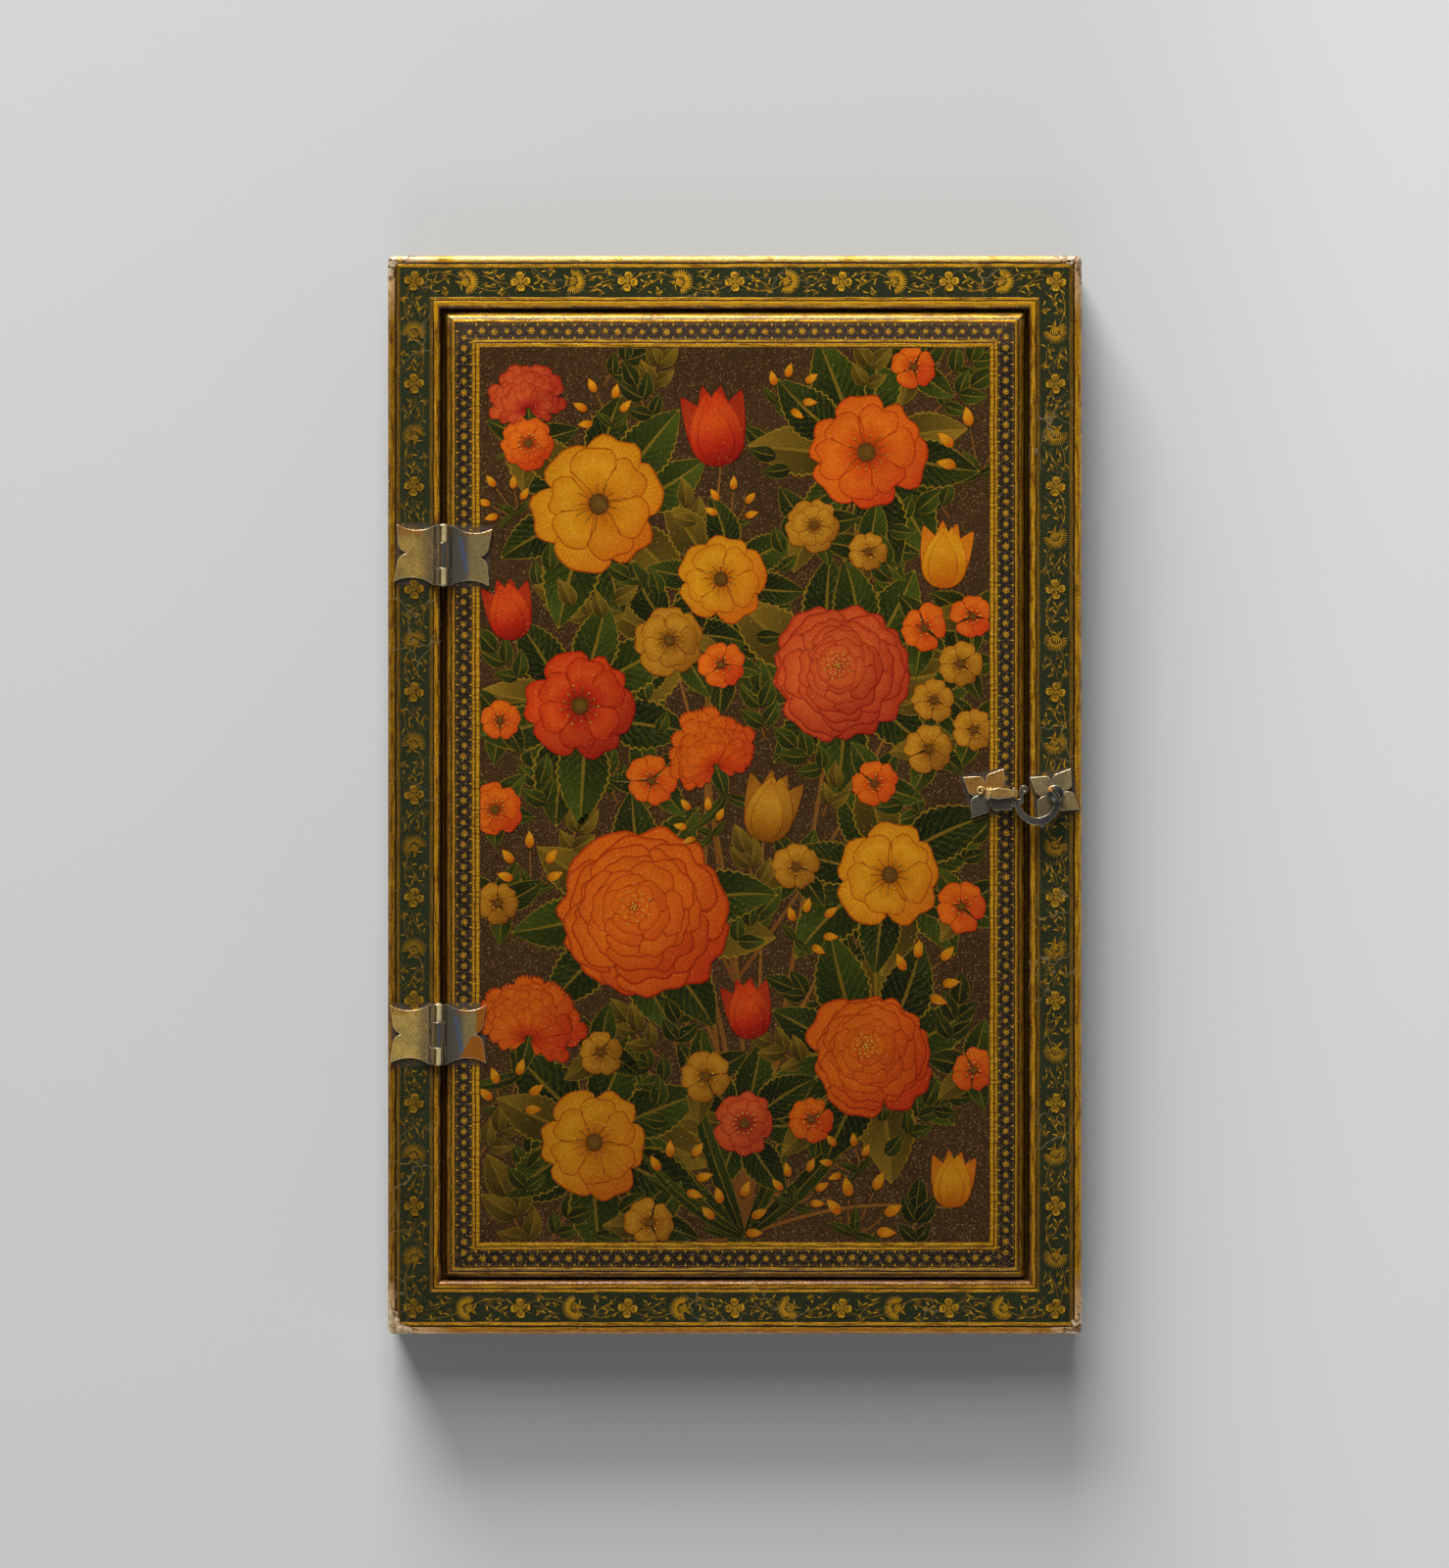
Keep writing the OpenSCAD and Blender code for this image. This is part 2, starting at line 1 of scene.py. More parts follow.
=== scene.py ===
import bpy
import numpy as np
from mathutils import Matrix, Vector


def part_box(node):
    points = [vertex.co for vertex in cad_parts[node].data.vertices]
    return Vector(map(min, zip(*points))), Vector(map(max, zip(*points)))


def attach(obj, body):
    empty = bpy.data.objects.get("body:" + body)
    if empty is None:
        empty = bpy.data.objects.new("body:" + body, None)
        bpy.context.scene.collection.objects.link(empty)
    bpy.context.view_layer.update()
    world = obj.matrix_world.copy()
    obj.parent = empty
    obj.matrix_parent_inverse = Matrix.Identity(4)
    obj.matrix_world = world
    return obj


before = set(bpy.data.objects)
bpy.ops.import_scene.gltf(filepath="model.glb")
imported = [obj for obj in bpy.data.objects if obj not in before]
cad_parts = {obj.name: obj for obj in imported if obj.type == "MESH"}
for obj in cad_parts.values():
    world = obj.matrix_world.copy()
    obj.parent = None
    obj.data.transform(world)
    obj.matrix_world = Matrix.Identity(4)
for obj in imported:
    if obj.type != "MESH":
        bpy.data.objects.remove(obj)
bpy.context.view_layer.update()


# Back board: a thin pasteboard slab glued behind the rails, painted plain red-brown, ruled with two
# gold lines and varnished. Its face and edges are what the case rests on.
CASE_HALF = (74, 115)


def srgb(r, g, b):
    """A colour given from 0 to 255, as the linear light that Blender works in."""
    c = np.array([r, g, b]) / 255
    return tuple(np.where(c <= 0.04045, c / 12.92, ((c + 0.055) / 1.055) ** 2.4)) + (1,)


class Field:
    """A value or a colour that changes over a surface: a shader socket that takes part in sums."""

    def __init__(self, tree, socket):
        self.tree, self.socket = tree, socket

    def calc(self, operation, *others):
        return node(self.tree, "Math", 0, dict(enumerate((self,) + others)), operation=operation)

    def __add__(self, other):
        return self.calc("ADD", other)

    def __sub__(self, other):
        return self.calc("SUBTRACT", other)

    def __rsub__(self, other):
        return self.calc("MULTIPLY_ADD", -1, other)

    def __mul__(self, other):
        return self.calc("MULTIPLY", other)

    def __abs__(self):
        return self.calc("ABSOLUTE")

    def most(self, other):
        """The greater of two values."""
        return self.calc("MAXIMUM", other)

    def rise(self, low, high):
        """Goes smoothly from 0 at low to 1 at high, which may be the lesser of the two."""
        inputs = {"Value": self, "From Min": low, "From Max": high}
        return node(self.tree, "MapRange", 0, inputs, interpolation_type="SMOOTHSTEP")

    def strip(self, low, high, soft):
        """1 from low to high, and 0 from soft outside them."""
        return self.rise(low - soft, low) * self.rise(high + soft, high)


def node(tree, kind, output, inputs=None, **settings):
    """Adds a node, sets its properties, sets or links its inputs, and gives one of its outputs."""
    made = tree.nodes.new("ShaderNode" + kind)
    for key, value in settings.items():
        setattr(made, key, value)
    for key, value in (inputs or {}).items():
        if isinstance(value, Field):
            tree.links.new(value.socket, made.inputs[key])
        else:
            made.inputs[key].default_value = value
    return Field(tree, made.outputs[output])


def mix(share, first, second, how="MIX"):
    """Two colours mixed."""
    tree = next(v.tree for v in (share, first, second) if isinstance(v, Field))
    return node(tree, "Mix", 2, {0: share, 6: first, 7: second}, data_type="RGBA", blend_type=how)


def toned(colour, level, shares=(1, 1, 1)):
    """A colour made darker by a level, of which red, green and blue each take a share."""
    channels = {k: level if share == 1 else level * share for k, share in enumerate(shares)}
    return mix(1, colour, node(level.tree, "CombineColor", 0, channels), "MULTIPLY")


def noise(spot, scale, detail=2, rough=0.5, output="Fac"):
    """Clouds of a scale per millimetre."""
    inputs = {"Vector": spot, "Scale": scale, "Detail": detail, "Roughness": rough}
    return node(spot.tree, "TexNoise", output, inputs)


def parts(vector):
    """A vector's x, y and z."""
    split = node(vector.tree, "SeparateXYZ", 0, {0: vector}).socket.node
    return [Field(vector.tree, socket) for socket in split.outputs]


def place_mm(tree):
    """The point on the piece in millimetres: x, y, z and the vector."""
    metres = node(tree, "TexCoord", "Object")
    spot = node(tree, "VectorMath", 0, {0: metres, 3: 1000}, operation="SCALE")
    return parts(spot) + [spot]


def group(name, inputs, outputs):
    """A node group with named sockets in and out, plain values but for a Colour or a Normal: its tree, the
    fields that come in, and its far end."""
    tree = bpy.data.node_groups.new(name, "ShaderNodeTree")
    kinds = {"Colour": "NodeSocketColor", "Normal": "NodeSocketVector"}
    for way, labels in (("INPUT", inputs), ("OUTPUT", outputs)):
        for label in labels:
            kind = kinds.get(label, "NodeSocketFloat")
            tree.interface.new_socket(name=label, in_out=way, socket_type=kind)
    near_end = tree.nodes.new("NodeGroupInput")
    fields = [Field(tree, near_end.outputs[k]) for k in range(len(inputs))]
    return tree, fields, tree.nodes.new("NodeGroupOutput")


def call(tree, group_tree, **values):
    """Places a node group, sets or links its inputs, and gives its outputs."""
    inputs = {key.replace("_", " "): value for key, value in values.items()}
    made = node(tree, "Group", 0, inputs, node_tree=group_tree).socket.node
    return [Field(tree, socket) for socket in made.outputs]


def feed(end, **fields):
    """Links fields to the inputs of a shader or of a group's far end."""
    for key, field in fields.items():
        field.tree.links.new(field.socket, end.inputs[key.replace("_", " ")])


def material(name, **sockets):
    """A material with one Principled shader, its plain values set on the shader's own sockets."""
    made = bpy.data.materials.new(name)
    made.use_nodes = True
    shader = made.node_tree.nodes["Principled BSDF"]
    for key, value in sockets.items():
        shader.inputs[key.replace("_", " ")].default_value = value
    return made, made.node_tree, shader


def dress(made, *names):
    """Puts a material on CAD nodes."""
    for name in names:
        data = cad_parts[name].data
        data.materials.clear()
        data.materials.append(made)


# How deep a point lies inside a mitred border, the lesser of its distances from the nearer sides, with the
# sway of a hand-ruled line; how near it is to a corner, its height, and whether it is on an upright.
inset, (half_width, half_height), end = group(
    "border_inset", ["Half Width", "Half Height"], ["Inset", "Corner", "Height", "Upright"])
x, y, z, spot = place_mm(inset)
from_side, from_end = half_width - abs(x), half_height - abs(y)
sway = (noise(spot, 0.11, 3, 0.6) - 0.5) * 0.45
feed(end, Inset=sway + from_side.calc("MINIMUM", from_end), Corner=from_side + from_end, Height=z,
     Upright=(from_end - from_side).rise(-0.3, 0.3))


def border_of(tree, half):
    """The inset, corner, height and upright of a border with these half sizes."""
    return call(tree, inset, Half_Width=half[0], Half_Height=half[1])


# Aged varnish: cloudy tone, darker evenly towards the bottom, fine hair cracks, and a gloss rubbed unevenly.
age, (crack,), end = group("varnish_age", ["Crack"], ["Tone", "Cracks", "Rough"])
x, y, z, spot = place_mm(age)
cloud = noise(spot, 0.06, 6, 0.62)
grain = noise(spot, 1.6, 3)
bent = noise(spot, 0.25, 4, output="Color")
pushed = node(age, "VectorMath", 0, {0: bent, 1: (5, 5, 5), 2: spot}, operation="MULTIPLY_ADD")
cell = node(age, "TexVoronoi", "Distance", {"Vector": pushed, "Scale": 0.09}, feature="DISTANCE_TO_EDGE")
hair = 1 - cell.rise(0.002, 0.012)
feed(end, Tone=cloud * 0.55 + grain * 0.35 + (y * 0.0012 + 0.52),
     Cracks=hair * noise(spot, 0.045).rise(0.5, 0.62) * crack, Rough=cloud * 0.12 + 0.21)

# Gold dust strewn into wet varnish: small flakes of three sizes, scattered at random.
dust, (density,), end = group("gold_dust", ["Density"], ["Flakes"])
spot = place_mm(dust)[3]
flakes = None
for scale, size in ((1.2, 0.25), (2, 0.27), (3.4, 0.3)):
    lot = node(dust, "TexVoronoi", "Color", {"Vector": spot, "Scale": scale})
    near = 1 - Field(dust, lot.socket.node.outputs["Distance"]).rise(size * 0.5, size)
    shown = near * density.calc("GREATER_THAN", parts(lot)[0])
    flakes = shown if flakes is None else flakes.most(shown)
feed(end, Flakes=flakes)


def bands(across, span, stops):
    """A ramp across a border. Each stop is a start in millimetres, a colour, and 1 where it is gilded, and
    its edges are softened. The ramp's alpha is the gilding."""
    soft = 0.05
    points = []
    ends = [start for start, colour, gilt in stops[1:]] + [span]
    for (start, colour, gilt), last in zip(stops, ends):
        points += [(start + (soft if start else 0), colour, gilt), (last - soft, colour, gilt)]
    ramp = node(across.tree, "ValToRGB", "Color", {"Fac": across.calc("DIVIDE", span)})
    made = ramp.socket.node
    cells = made.color_ramp.elements
    while len(cells) < len(points):
        cells.new(0.5)
    for stop, (at, colour, gilt) in zip(cells, points):
        stop.position = at / span
        stop.color = colour[:3] + (gilt,)
    return ramp, Field(across.tree, made.outputs["Alpha"])


GILT = srgb(212, 147, 14)
BOLE = srgb(104, 50, 14)
LINE = srgb(24, 17, 8)
back_paint, tree, shader = material("back_lacquer", Coat_Weight=0.25, Coat_Roughness=0.12)
depth = border_of(tree, CASE_HALF)[0]
tone, cracks, rough = call(tree, age, Crack=0.7)
colour, gilt = bands(depth, 60, [
    (0, srgb(66, 32, 17), 0), (5, GILT, 1), (6, srgb(60, 24, 14), 0),
    (9, GILT, 1), (9.5, srgb(74, 30, 17), 0)])
colour = mix(call(tree, dust, Density=0.25)[0] * 0.5, colour, srgb(150, 104, 40))
feed(shader, Base_Color=toned(colour, tone), Metallic=gilt * 0.4, Roughness=rough)
dress(back_paint, "back_board")


# Rails: mitred strips of wood, sized with gesso, painted a dark bottle green between gilded mouldings.
# The gold lines are ruled by hand, and the outer corners are knocked through to the gesso.
def stretched(spot, scales):
    """The point, with each of its parts scaled."""
    return node(spot.tree, "VectorMath", 0, {0: spot, 1: scales}, operation="MULTIPLY")


# Gold leaf over a colour: gritty, rubbed through to the red bole, drawn out in streaks along a border's
# sides where it is ruled, and darkened on its uprights as painted shade, by a share that is given.
gilding, (colour, gilt, tone, upright, ruled, upright_shade), end = group(
    "gold_leaf", ["Colour", "Gilt", "Tone", "Upright", "Ruled", "Handled"], ["Colour", "Rubbed", "Normal"])
spot = place_mm(gilding)[3]
streak = noise(spot, 0.45, 6, 0.72)
grit = noise(spot, 2.6, 2, 0.6)
rubbed = streak.rise(0.5, 0.68) * gilt
colour = mix(rubbed * 0.75, colour, BOLE)
colour = mix(grit.rise(0.52, 0.66) * gilt * 0.6, colour, srgb(244, 194, 62))
colour = mix(grit.rise(0.46, 0.32) * gilt * 0.65, colour, srgb(104, 60, 8))
drawn = noise(mix(upright, stretched(spot, (0.2, 2, 1)), stretched(spot, (2, 0.2, 1))), 1, 4)
colour = mix(drawn.rise(0.5, 0.64) * gilt * ruled * 0.6, colour, srgb(250, 188, 40))
colour = mix(drawn.rise(0.48, 0.34) * gilt * ruled * 0.7, colour, srgb(74, 38, 6))
# Painted shade: the gilding on the uprights is darkened, by the share that comes in.
colour = mix(upright * gilt * (streak + 0.12) * upright_shade, colour, srgb(72, 36, 6))
relief = (streak * 0.6 + grit) * gilt
tooled = node(gilding, "Bump", 0, {"Height": relief, "Strength": 0.35, "Distance": 0.0004})
feed(end, Colour=toned(colour, tone), Rubbed=rubbed, Normal=tooled)


def worn(colour, spot, amount):
    """Chips a surface back to pale gesso with a brown rim, by a mask that is 0 where it is whole."""
    ragged = noise(spot, 0.7, 5, 0.65)
    level = amount + (ragged - 0.5) * 1.6
    gesso = mix(ragged.rise(0.36, 0.62), srgb(146, 106, 68), srgb(220, 194, 156))
    colour = mix(level.rise(0.42, 0.5), colour, srgb(92, 58, 32))
    return mix(level.rise(0.55, 0.62), colour, gesso)


# Grime and old varnish gather in the hollows of the metal's outline: a soft grey field that fills the
# rectangle about each hinge and the square about each rosette.
grime, nothing, end = group("metal_grime", [], ["Grime"])
x, y, z, spot = place_mm(grime)
ragged = noise(spot, 0.9, 3) * 1.2
field = None
for middle, half, turn in (((-62.2, 51), (9.9, 6.5), -2.5), ((-63.2, -51), (9.9, 6.5), 0.5),
                           ((68.1, 0.3), (4.7, 4.7), 12), ((53.85, 0.3), (4.7, 4.7), 12)):
    c, s = np.cos(np.radians(turn)), np.sin(np.radians(turn))
    px, py = x - middle[0], y - middle[1]
    far = (abs(px * c + py * s) - half[0]).most(abs(py * c - px * s) - half[1])
    near = (ragged + far).rise(1.1, 0.3)
    field = near if field is None else field.most(near)
feed(end, Grime=field)
GRIME = srgb(84, 74, 64)
DEAD_VARNISH = srgb(138, 116, 76)
GREEN = srgb(42, 47, 27)

rail_paint, tree, shader = material(
    "rail_lacquer", Specular_IOR_Level=0.3, Coat_Weight=0.25, Coat_Roughness=0.08)
depth, corner, height, upright = border_of(tree, CASE_HALF)
tone, cracks, rough = call(tree, age, Crack=1)
x, y, z, spot = place_mm(tree)
# The last band, a dark red-brown over the inner rounding of the lip, is painted shade.
colour, gilt = bands(depth, 12.5, [
    (0, GILT, 1), (1.5, LINE, 0), (1.95, GILT, 1), (2.6, GREEN, 0),
    (9.05, GILT, 1), (9.6, LINE, 0), (9.95, GILT, 1), (10.8, srgb(100, 46, 12), 1)])
colour = mix(call(tree, dust, Density=0.16)[0] * 0.45 * (1 - gilt), colour, srgb(150, 120, 44))
lip = depth.strip(10, 10.7, 0.3)
# The painted shade on the uprights is weaker on the lip and along the right outer edge.
right_edge = depth.rise(1.6, 1.4) * x.rise(60, 70)
upright_shade = 1 - lip.most(right_edge) * 0.65
colour, rubbed, tooled = call(tree, gilding, Colour=colour, Gilt=gilt, Tone=tone, Upright=upright, Ruled=1,
                              Handled=upright_shade)
# Painted shade: the gold rules on the uprights are dulled to olive.
rules = depth.strip(1.95, 2.6, 0.1).most(depth.strip(9.05, 9.55, 0.1))
colour = mix(rules * upright * 0.5, colour, srgb(86, 74, 34))
# A painted highlight: the lip of the top rail is brightened to yellow gold.
colour = mix(lip * y.rise(100, 104) * 0.45, colour, srgb(248, 180, 22))
patchy = noise(spot, 0.16, 5, 0.65)
flank = mix(patchy.rise(0.4, 0.62), srgb(92, 46, 20), srgb(58, 30, 16))
colour = mix(1 - height.rise(16, 17.1), colour, flank)

# Wear and painted light: a painted highlight lies in cream on the upper edge, painted highlights make a pale
# line along the lower edges and the lower lip, painted shade makes the lower lip and the foot browner and
# darkens the gap, and the corners are bruised and chipped, most of all at the lower left.
crown = height.rise(16.5, 16.9)
at_foot = y.rise(-112, -113)
lower_lip = y.rise(-100, -103)
# A painted highlight: the upper outer edge is broken up in cream.
crest = depth.rise(1.6, 1.1) * crown * y.rise(111, 113)
colour = mix(crest * patchy.rise(0.3, 0.5) * 0.75, colour, srgb(244, 204, 122))
# Painted highlights: a pale line broken up along the lower outer edge, and a faint one on the lower lip.
sill = depth.rise(0.3, 0.12) * crown * y.rise(-113.6, -114.2)
ledge = depth.rise(10.9, 11.2) * crown * lower_lip
colour = mix((sill * 0.6 + ledge * 0.05) * patchy.rise(0.38, 0.5), colour, srgb(244, 230, 212))
# Painted shade: the lower lip is made browner.
colour = mix(depth.rise(10, 10.7) * lower_lip * 0.75, colour, srgb(84, 44, 8))
# Painted shade: the gap inside the lip is darkened almost to black, except along the bottom.
colour = mix(depth.rise(10.95, 11.25) * y.rise(-102, -99) * 0.85, colour, srgb(26, 12, 6))
# Painted shade: the outer edge at the foot is made browner.
colour = mix(depth.rise(1.5, 1.3) * at_foot * 0.5, colour, srgb(150, 84, 6))
bruised = corner.rise(16, 5) * depth.rise(1.7, 1.3) * crown
colour = mix(bruised * patchy.rise(0.36, 0.5), colour, srgb(226, 182, 130))
lower_left = y.rise(0, -90) * x.rise(20, -50)
chipped = corner.rise(11, 2) * depth.rise(4.4, 1.6) * height.rise(8, 16) * (lower_left * 0.42 + 0.62)
edge = depth.rise(1.1, 0.1) * patchy.rise(0.45, 0.7) * (1 - y.rise(-112, -113.5) * 0.7)
colour = worn(colour, spot, chipped + edge * 0.5)
colour = mix(cracks * 0.75, colour, DEAD_VARNISH)
colour = mix(call(tree, grime)[0] * 0.75, colour, GRIME)
feed(shader, Base_Color=colour, Metallic=(gilt - rubbed) * 0.35, Roughness=rough, Normal=tooled)
dress(rail_paint, "rail_top", "rail_bottom", "rail_left", "rail_right")


# Scroll on the rails: gold paint laid with a fine brush on the green. Four-petalled flowers and toothed
# palmettes take turns along a wavy vine, with leaves and tendrils between.
FACE = 18


def grid(nu, nv):
    """The quads of a sheet of nu by nv cells, turned so that u to v runs anticlockwise."""
    i, j = np.meshgrid(np.arange(nu), np.arange(nv), indexing="ij")
    a = (i * (nv + 1) + j).ravel()
    return np.stack([a, a + nv + 1, a + nv + 2, a + 1], axis=1)


def sheet_of(px, py, tints):
    """A painted sheet from its x and y on a grid, u down the rows and v across from -1 to 1, and the
    colours that it runs through from its root to its tip."""
    nu, nv = px.shape[0] - 1, px.shape[1] - 1
    u, v = np.meshgrid(np.linspace(0, 1, nu + 1), np.linspace(-1, 1, nv + 1), indexing="ij")
    steps = np.linspace(0, 1, len(tints))
    tint = np.stack([np.interp(u, steps, [t[k] for t in tints]) for k in range(3)], axis=-1)
    return {"xy": np.stack([px, py], axis=-1).reshape(-1, 2), "quads": grid(nu, nv),
            "uv": np.stack([u, (v + 1) / 2], axis=-1).reshape(-1, 2), "tint": tint.reshape(-1, 3)}


def blade(at, turn, length, width, tints, bend=0, full=0.8, teeth=0, cells=(8, 2)):
    """A leaf: its half width is sin(pi u^full), its middle line bends by bend u^2, and teeth saw its edge."""
    u = np.linspace(0, 1, cells[0] + 1)[:, None]
    v = np.linspace(-1, 1, cells[1] + 1)[None, :]
    half = width / 2 * (np.sin(np.pi * u ** full) ** 0.9 + 0.01)
    if teeth:
        half = half * (1 + 0.22 * ((u * teeth) % 1 - 0.5) * np.sin(np.pi * u))
    lean = np.arctan(2 * bend * u)
    along = length * u - v * half * np.sin(lean)
    aside = length * bend * u ** 2 + v * half * np.cos(lean)
    return sheet_of(at[0] + along * np.cos(turn) - aside * np.sin(turn),
                    at[1] + along * np.sin(turn) + aside * np.cos(turn), tints)


def ribbon(px, py, width, tints, taper=0):
    """A brush stroke along a path, thinning by taper towards its end."""
    dx, dy = np.gradient(px), np.gradient(py)
    size = np.hypot(dx, dy) + 1e-9
    half = width / 2 * (1 - taper * np.linspace(0, 1, len(px)) ** 2)
    v = np.array([-1, 0, 1])[None, :]
    return sheet_of(px[:, None] - v * (dy / size * half)[:, None],
                    py[:, None] + v * (dx / size * half)[:, None], tints)


def hoop(at, radius, start, last, points, width, tints, taper=0):
    """A stroke along part of a circle."""
    a = np.linspace(start, last, points)
    return ribbon(at[0] + radius * np.cos(a), at[1] + radius * np.sin(a), width, tints, taper)


def curl(at, turn, size, width, tints, hand=1, turns=1.15):
    """A tendril that winds in: its radius falls evenly to a quarter over its turns."""
    a = turn - hand * np.pi / 2 + hand * np.linspace(0, 2 * np.pi * turns, 12)
    r = size * (1 - 0.75 * np.linspace(0, 1, 12))
    cx, cy = at[0] - hand * size * np.sin(turn), at[1] + hand * size * np.cos(turn)
    return ribbon(cx + r * np.cos(a), cy + r * np.sin(a), width, tints, 0.6)


def disc(at, radius, tints, sides=10):
    """A round dab, from its middle out."""
    a = np.linspace(0, 2 * np.pi, sides + 1)[None, :]
    r = np.array([0.02, 1])[:, None] * radius
    return sheet_of(at[0] + r * np.cos(a), at[1] + r * np.sin(a), tints)


def piled(sheets, start=0, step=0.0016):
    """The same sheets, each lifted a hair above the one before it, in millimetres."""
    return [dict(sh, lift=start + step * (k + 1)) for k, sh in enumerate(sheets)]


def moved(sheets, turn=0, at=(0, 0)):
    """Copies of sheets, turned about the origin and carried to a place."""
    c, s = np.cos(turn), np.sin(turn)
    spin = np.array([[c, s], [-s, c]])
    return [dict(sh, xy=sh["xy"] @ spin + np.array(at)) for sh in sheets]


def along(at, turn, far):
    """The point that lies far from another, in a direction."""
    return (at[0] + far * np.cos(turn), at[1] + far * np.sin(turn))


def solid_of(name, points, quads, made):
    """An object with these points, in millimetres, these quads and one material."""
    mesh = bpy.data.meshes.new(name)
    mesh.from_pydata((points / 1000).tolist(), [], quads.tolist())
    mesh.materials.append(made)
    piece = bpy.data.objects.new(name, mesh)
    bpy.context.scene.collection.objects.link(piece)
    return piece


def lay(name, sheets, level, body, made, way=1):
    """Joins painted sheets into one piece that lies on a face that looks up, or down where way is -1."""
    counts = [len(sh["xy"]) for sh in sheets]
    starts = np.cumsum([0] + counts)
    z = np.repeat([level + way * sh["lift"] for sh in sheets], counts)
    xy, tint, uv = (np.concatenate([sh[key] for sh in sheets]) for key in ("xy", "tint", "uv"))
    quads = np.concatenate([sh["quads"] + k for sh, k in zip(sheets, starts)])[:, ::way]
    piece = solid_of(name, np.column_stack([xy, z]), quads, made)
    mesh = piece.data
    paint = mesh.color_attributes.new("tint", "FLOAT_COLOR", "POINT")
    paint.data.foreach_set("color", np.column_stack([tint, np.ones(len(tint))]).astype(np.float32).ravel())
    corners = np.empty(len(mesh.loops), dtype=np.int32)
    mesh.loops.foreach_get("vertex_index", corners)
    mesh.uv_layers.new(name="brush").data.foreach_set("uv", uv[corners].astype(np.float32).ravel())
    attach(piece, body)


brush_gold, tree, shader = material(
    "brush_gold", Roughness=0.36, Specular_IOR_Level=0.3, Coat_Weight=0.2, Coat_Roughness=0.1)
tint = node(tree, "Attribute", "Color", attribute_name="tint")
x, y, z, spot = place_mm(tree)
thick = noise(spot, 1.3, 3)
tone, cracks, rough = call(tree, age, Crack=0.6)
# Painted shade and highlight: the scroll is dimmed on the side rails, most on the left, and brightened on the
# top rail.
side_shade = (1 - x.rise(-56, -66) * 0.4) * (1 - x.rise(60, 66) * 0.14)
colour = mix(thick.rise(0.52, 0.72), tint, srgb(88, 66, 26))
colour = toned(colour, tone * side_shade * (y.rise(94, 97) * 0.2 + 1))
feed(shader, Base_Color=mix(cracks * 0.6, colour, DEAD_VARNISH), Metallic=thick * -0.4 + 0.45)

LEAF_GOLD = [srgb(206, 146, 16), srgb(236, 178, 40)]
PALE_GOLD = [srgb(158, 114, 24), srgb(184, 136, 32)]
SHADED_GOLD = [srgb(112, 82, 22), srgb(134, 98, 26)]
DARK = [GREEN, GREEN]
TINY, SMALL = (3, 2), (4, 2)


def rail_flower(turn):
    """Four petals, each a shaded dab with a notched outline and a bright tip, about a ringed eye, and
    hair-thin sepals between them. A petal's outline is a circle dented where it points out."""
    quarters = turn + np.arange(4) * np.pi / 2
    made = [blade((0, 0), a + np.pi / 4, 2.6, 0.16, PALE_GOLD, 0.25, cells=SMALL) for a in quarters]
    a = np.linspace(-np.pi, np.pi, 17)
    dent = 1 - 0.3 * np.exp(-(a / 0.45) ** 2)
    petal = [disc((1.42, 0), 0.55, SHADED_GOLD, 8)]
    petal += [disc((1.68, aside), 0.25, LEAF_GOLD, 6) for aside in (0.26, -0.26)]
    petal += [ribbon(1.42 + 0.72 * dent * np.cos(a), 0.66 * dent * np.sin(a), 0.2, LEAF_GOLD),
              blade((0.8, 0), 0, 0.7, 0.16, LEAF_GOLD, cells=TINY)]
    for a in quarters:
        made += moved(petal, a)
    return made + [disc((0, 0), 0.6, DARK), disc((0, 0), 0.18, LEAF_GOLD, 6),
                   hoop((0, 0), 0.42, 0, 2 * np.pi, 11, 0.15, LEAF_GOLD)]


def rail_palmette(turn, crest=0.9):
    """A crest of thin pointed teeth, longest in front, on a shaded crescent as wide as crest, round a dark
    heart with fine strokes that spring from one root."""
    heart, root, base = (along((0, 0), turn, -far) for far in (0.3, 1.3, 1.2))
    first, last = turn - 1.5, turn + 2.05
    made = [hoop(heart, 1.6, first, last, 16, crest, SHADED_GOLD, 0.4)]
    for a in np.linspace(-1.75, 2, 19):
        start = along(heart, turn + a, 1.3 - 0.25 * np.cos(a))
        made.append(blade(start, turn + a * 0.95, 1.3 + 0.6 * np.cos(a * 0.8), 0.13 + 0.15 * crest, LEAF_GOLD,
                          full=0.6, cells=SMALL))
    made.append(hoop(heart, 1.3, first, last, 16, 0.2, LEAF_GOLD, 0.5))
    made += [blade(root, turn + a, 2.2 - 0.4 * abs(a), 0.2, LEAF_GOLD, -0.2 * a, full=1.2, cells=SMALL)
             for a in (-0.95, -0.55, -0.18, 0.18, 0.55, 0.95)]
    made += [blade(base, turn + a, 1.5, 0.26, LEAF_GOLD, 0.4, cells=TINY) for a in (2.3, -2.2)]
    return made + [curl(base, turn + 1.2, 0.5, 0.13, PALE_GOLD)]


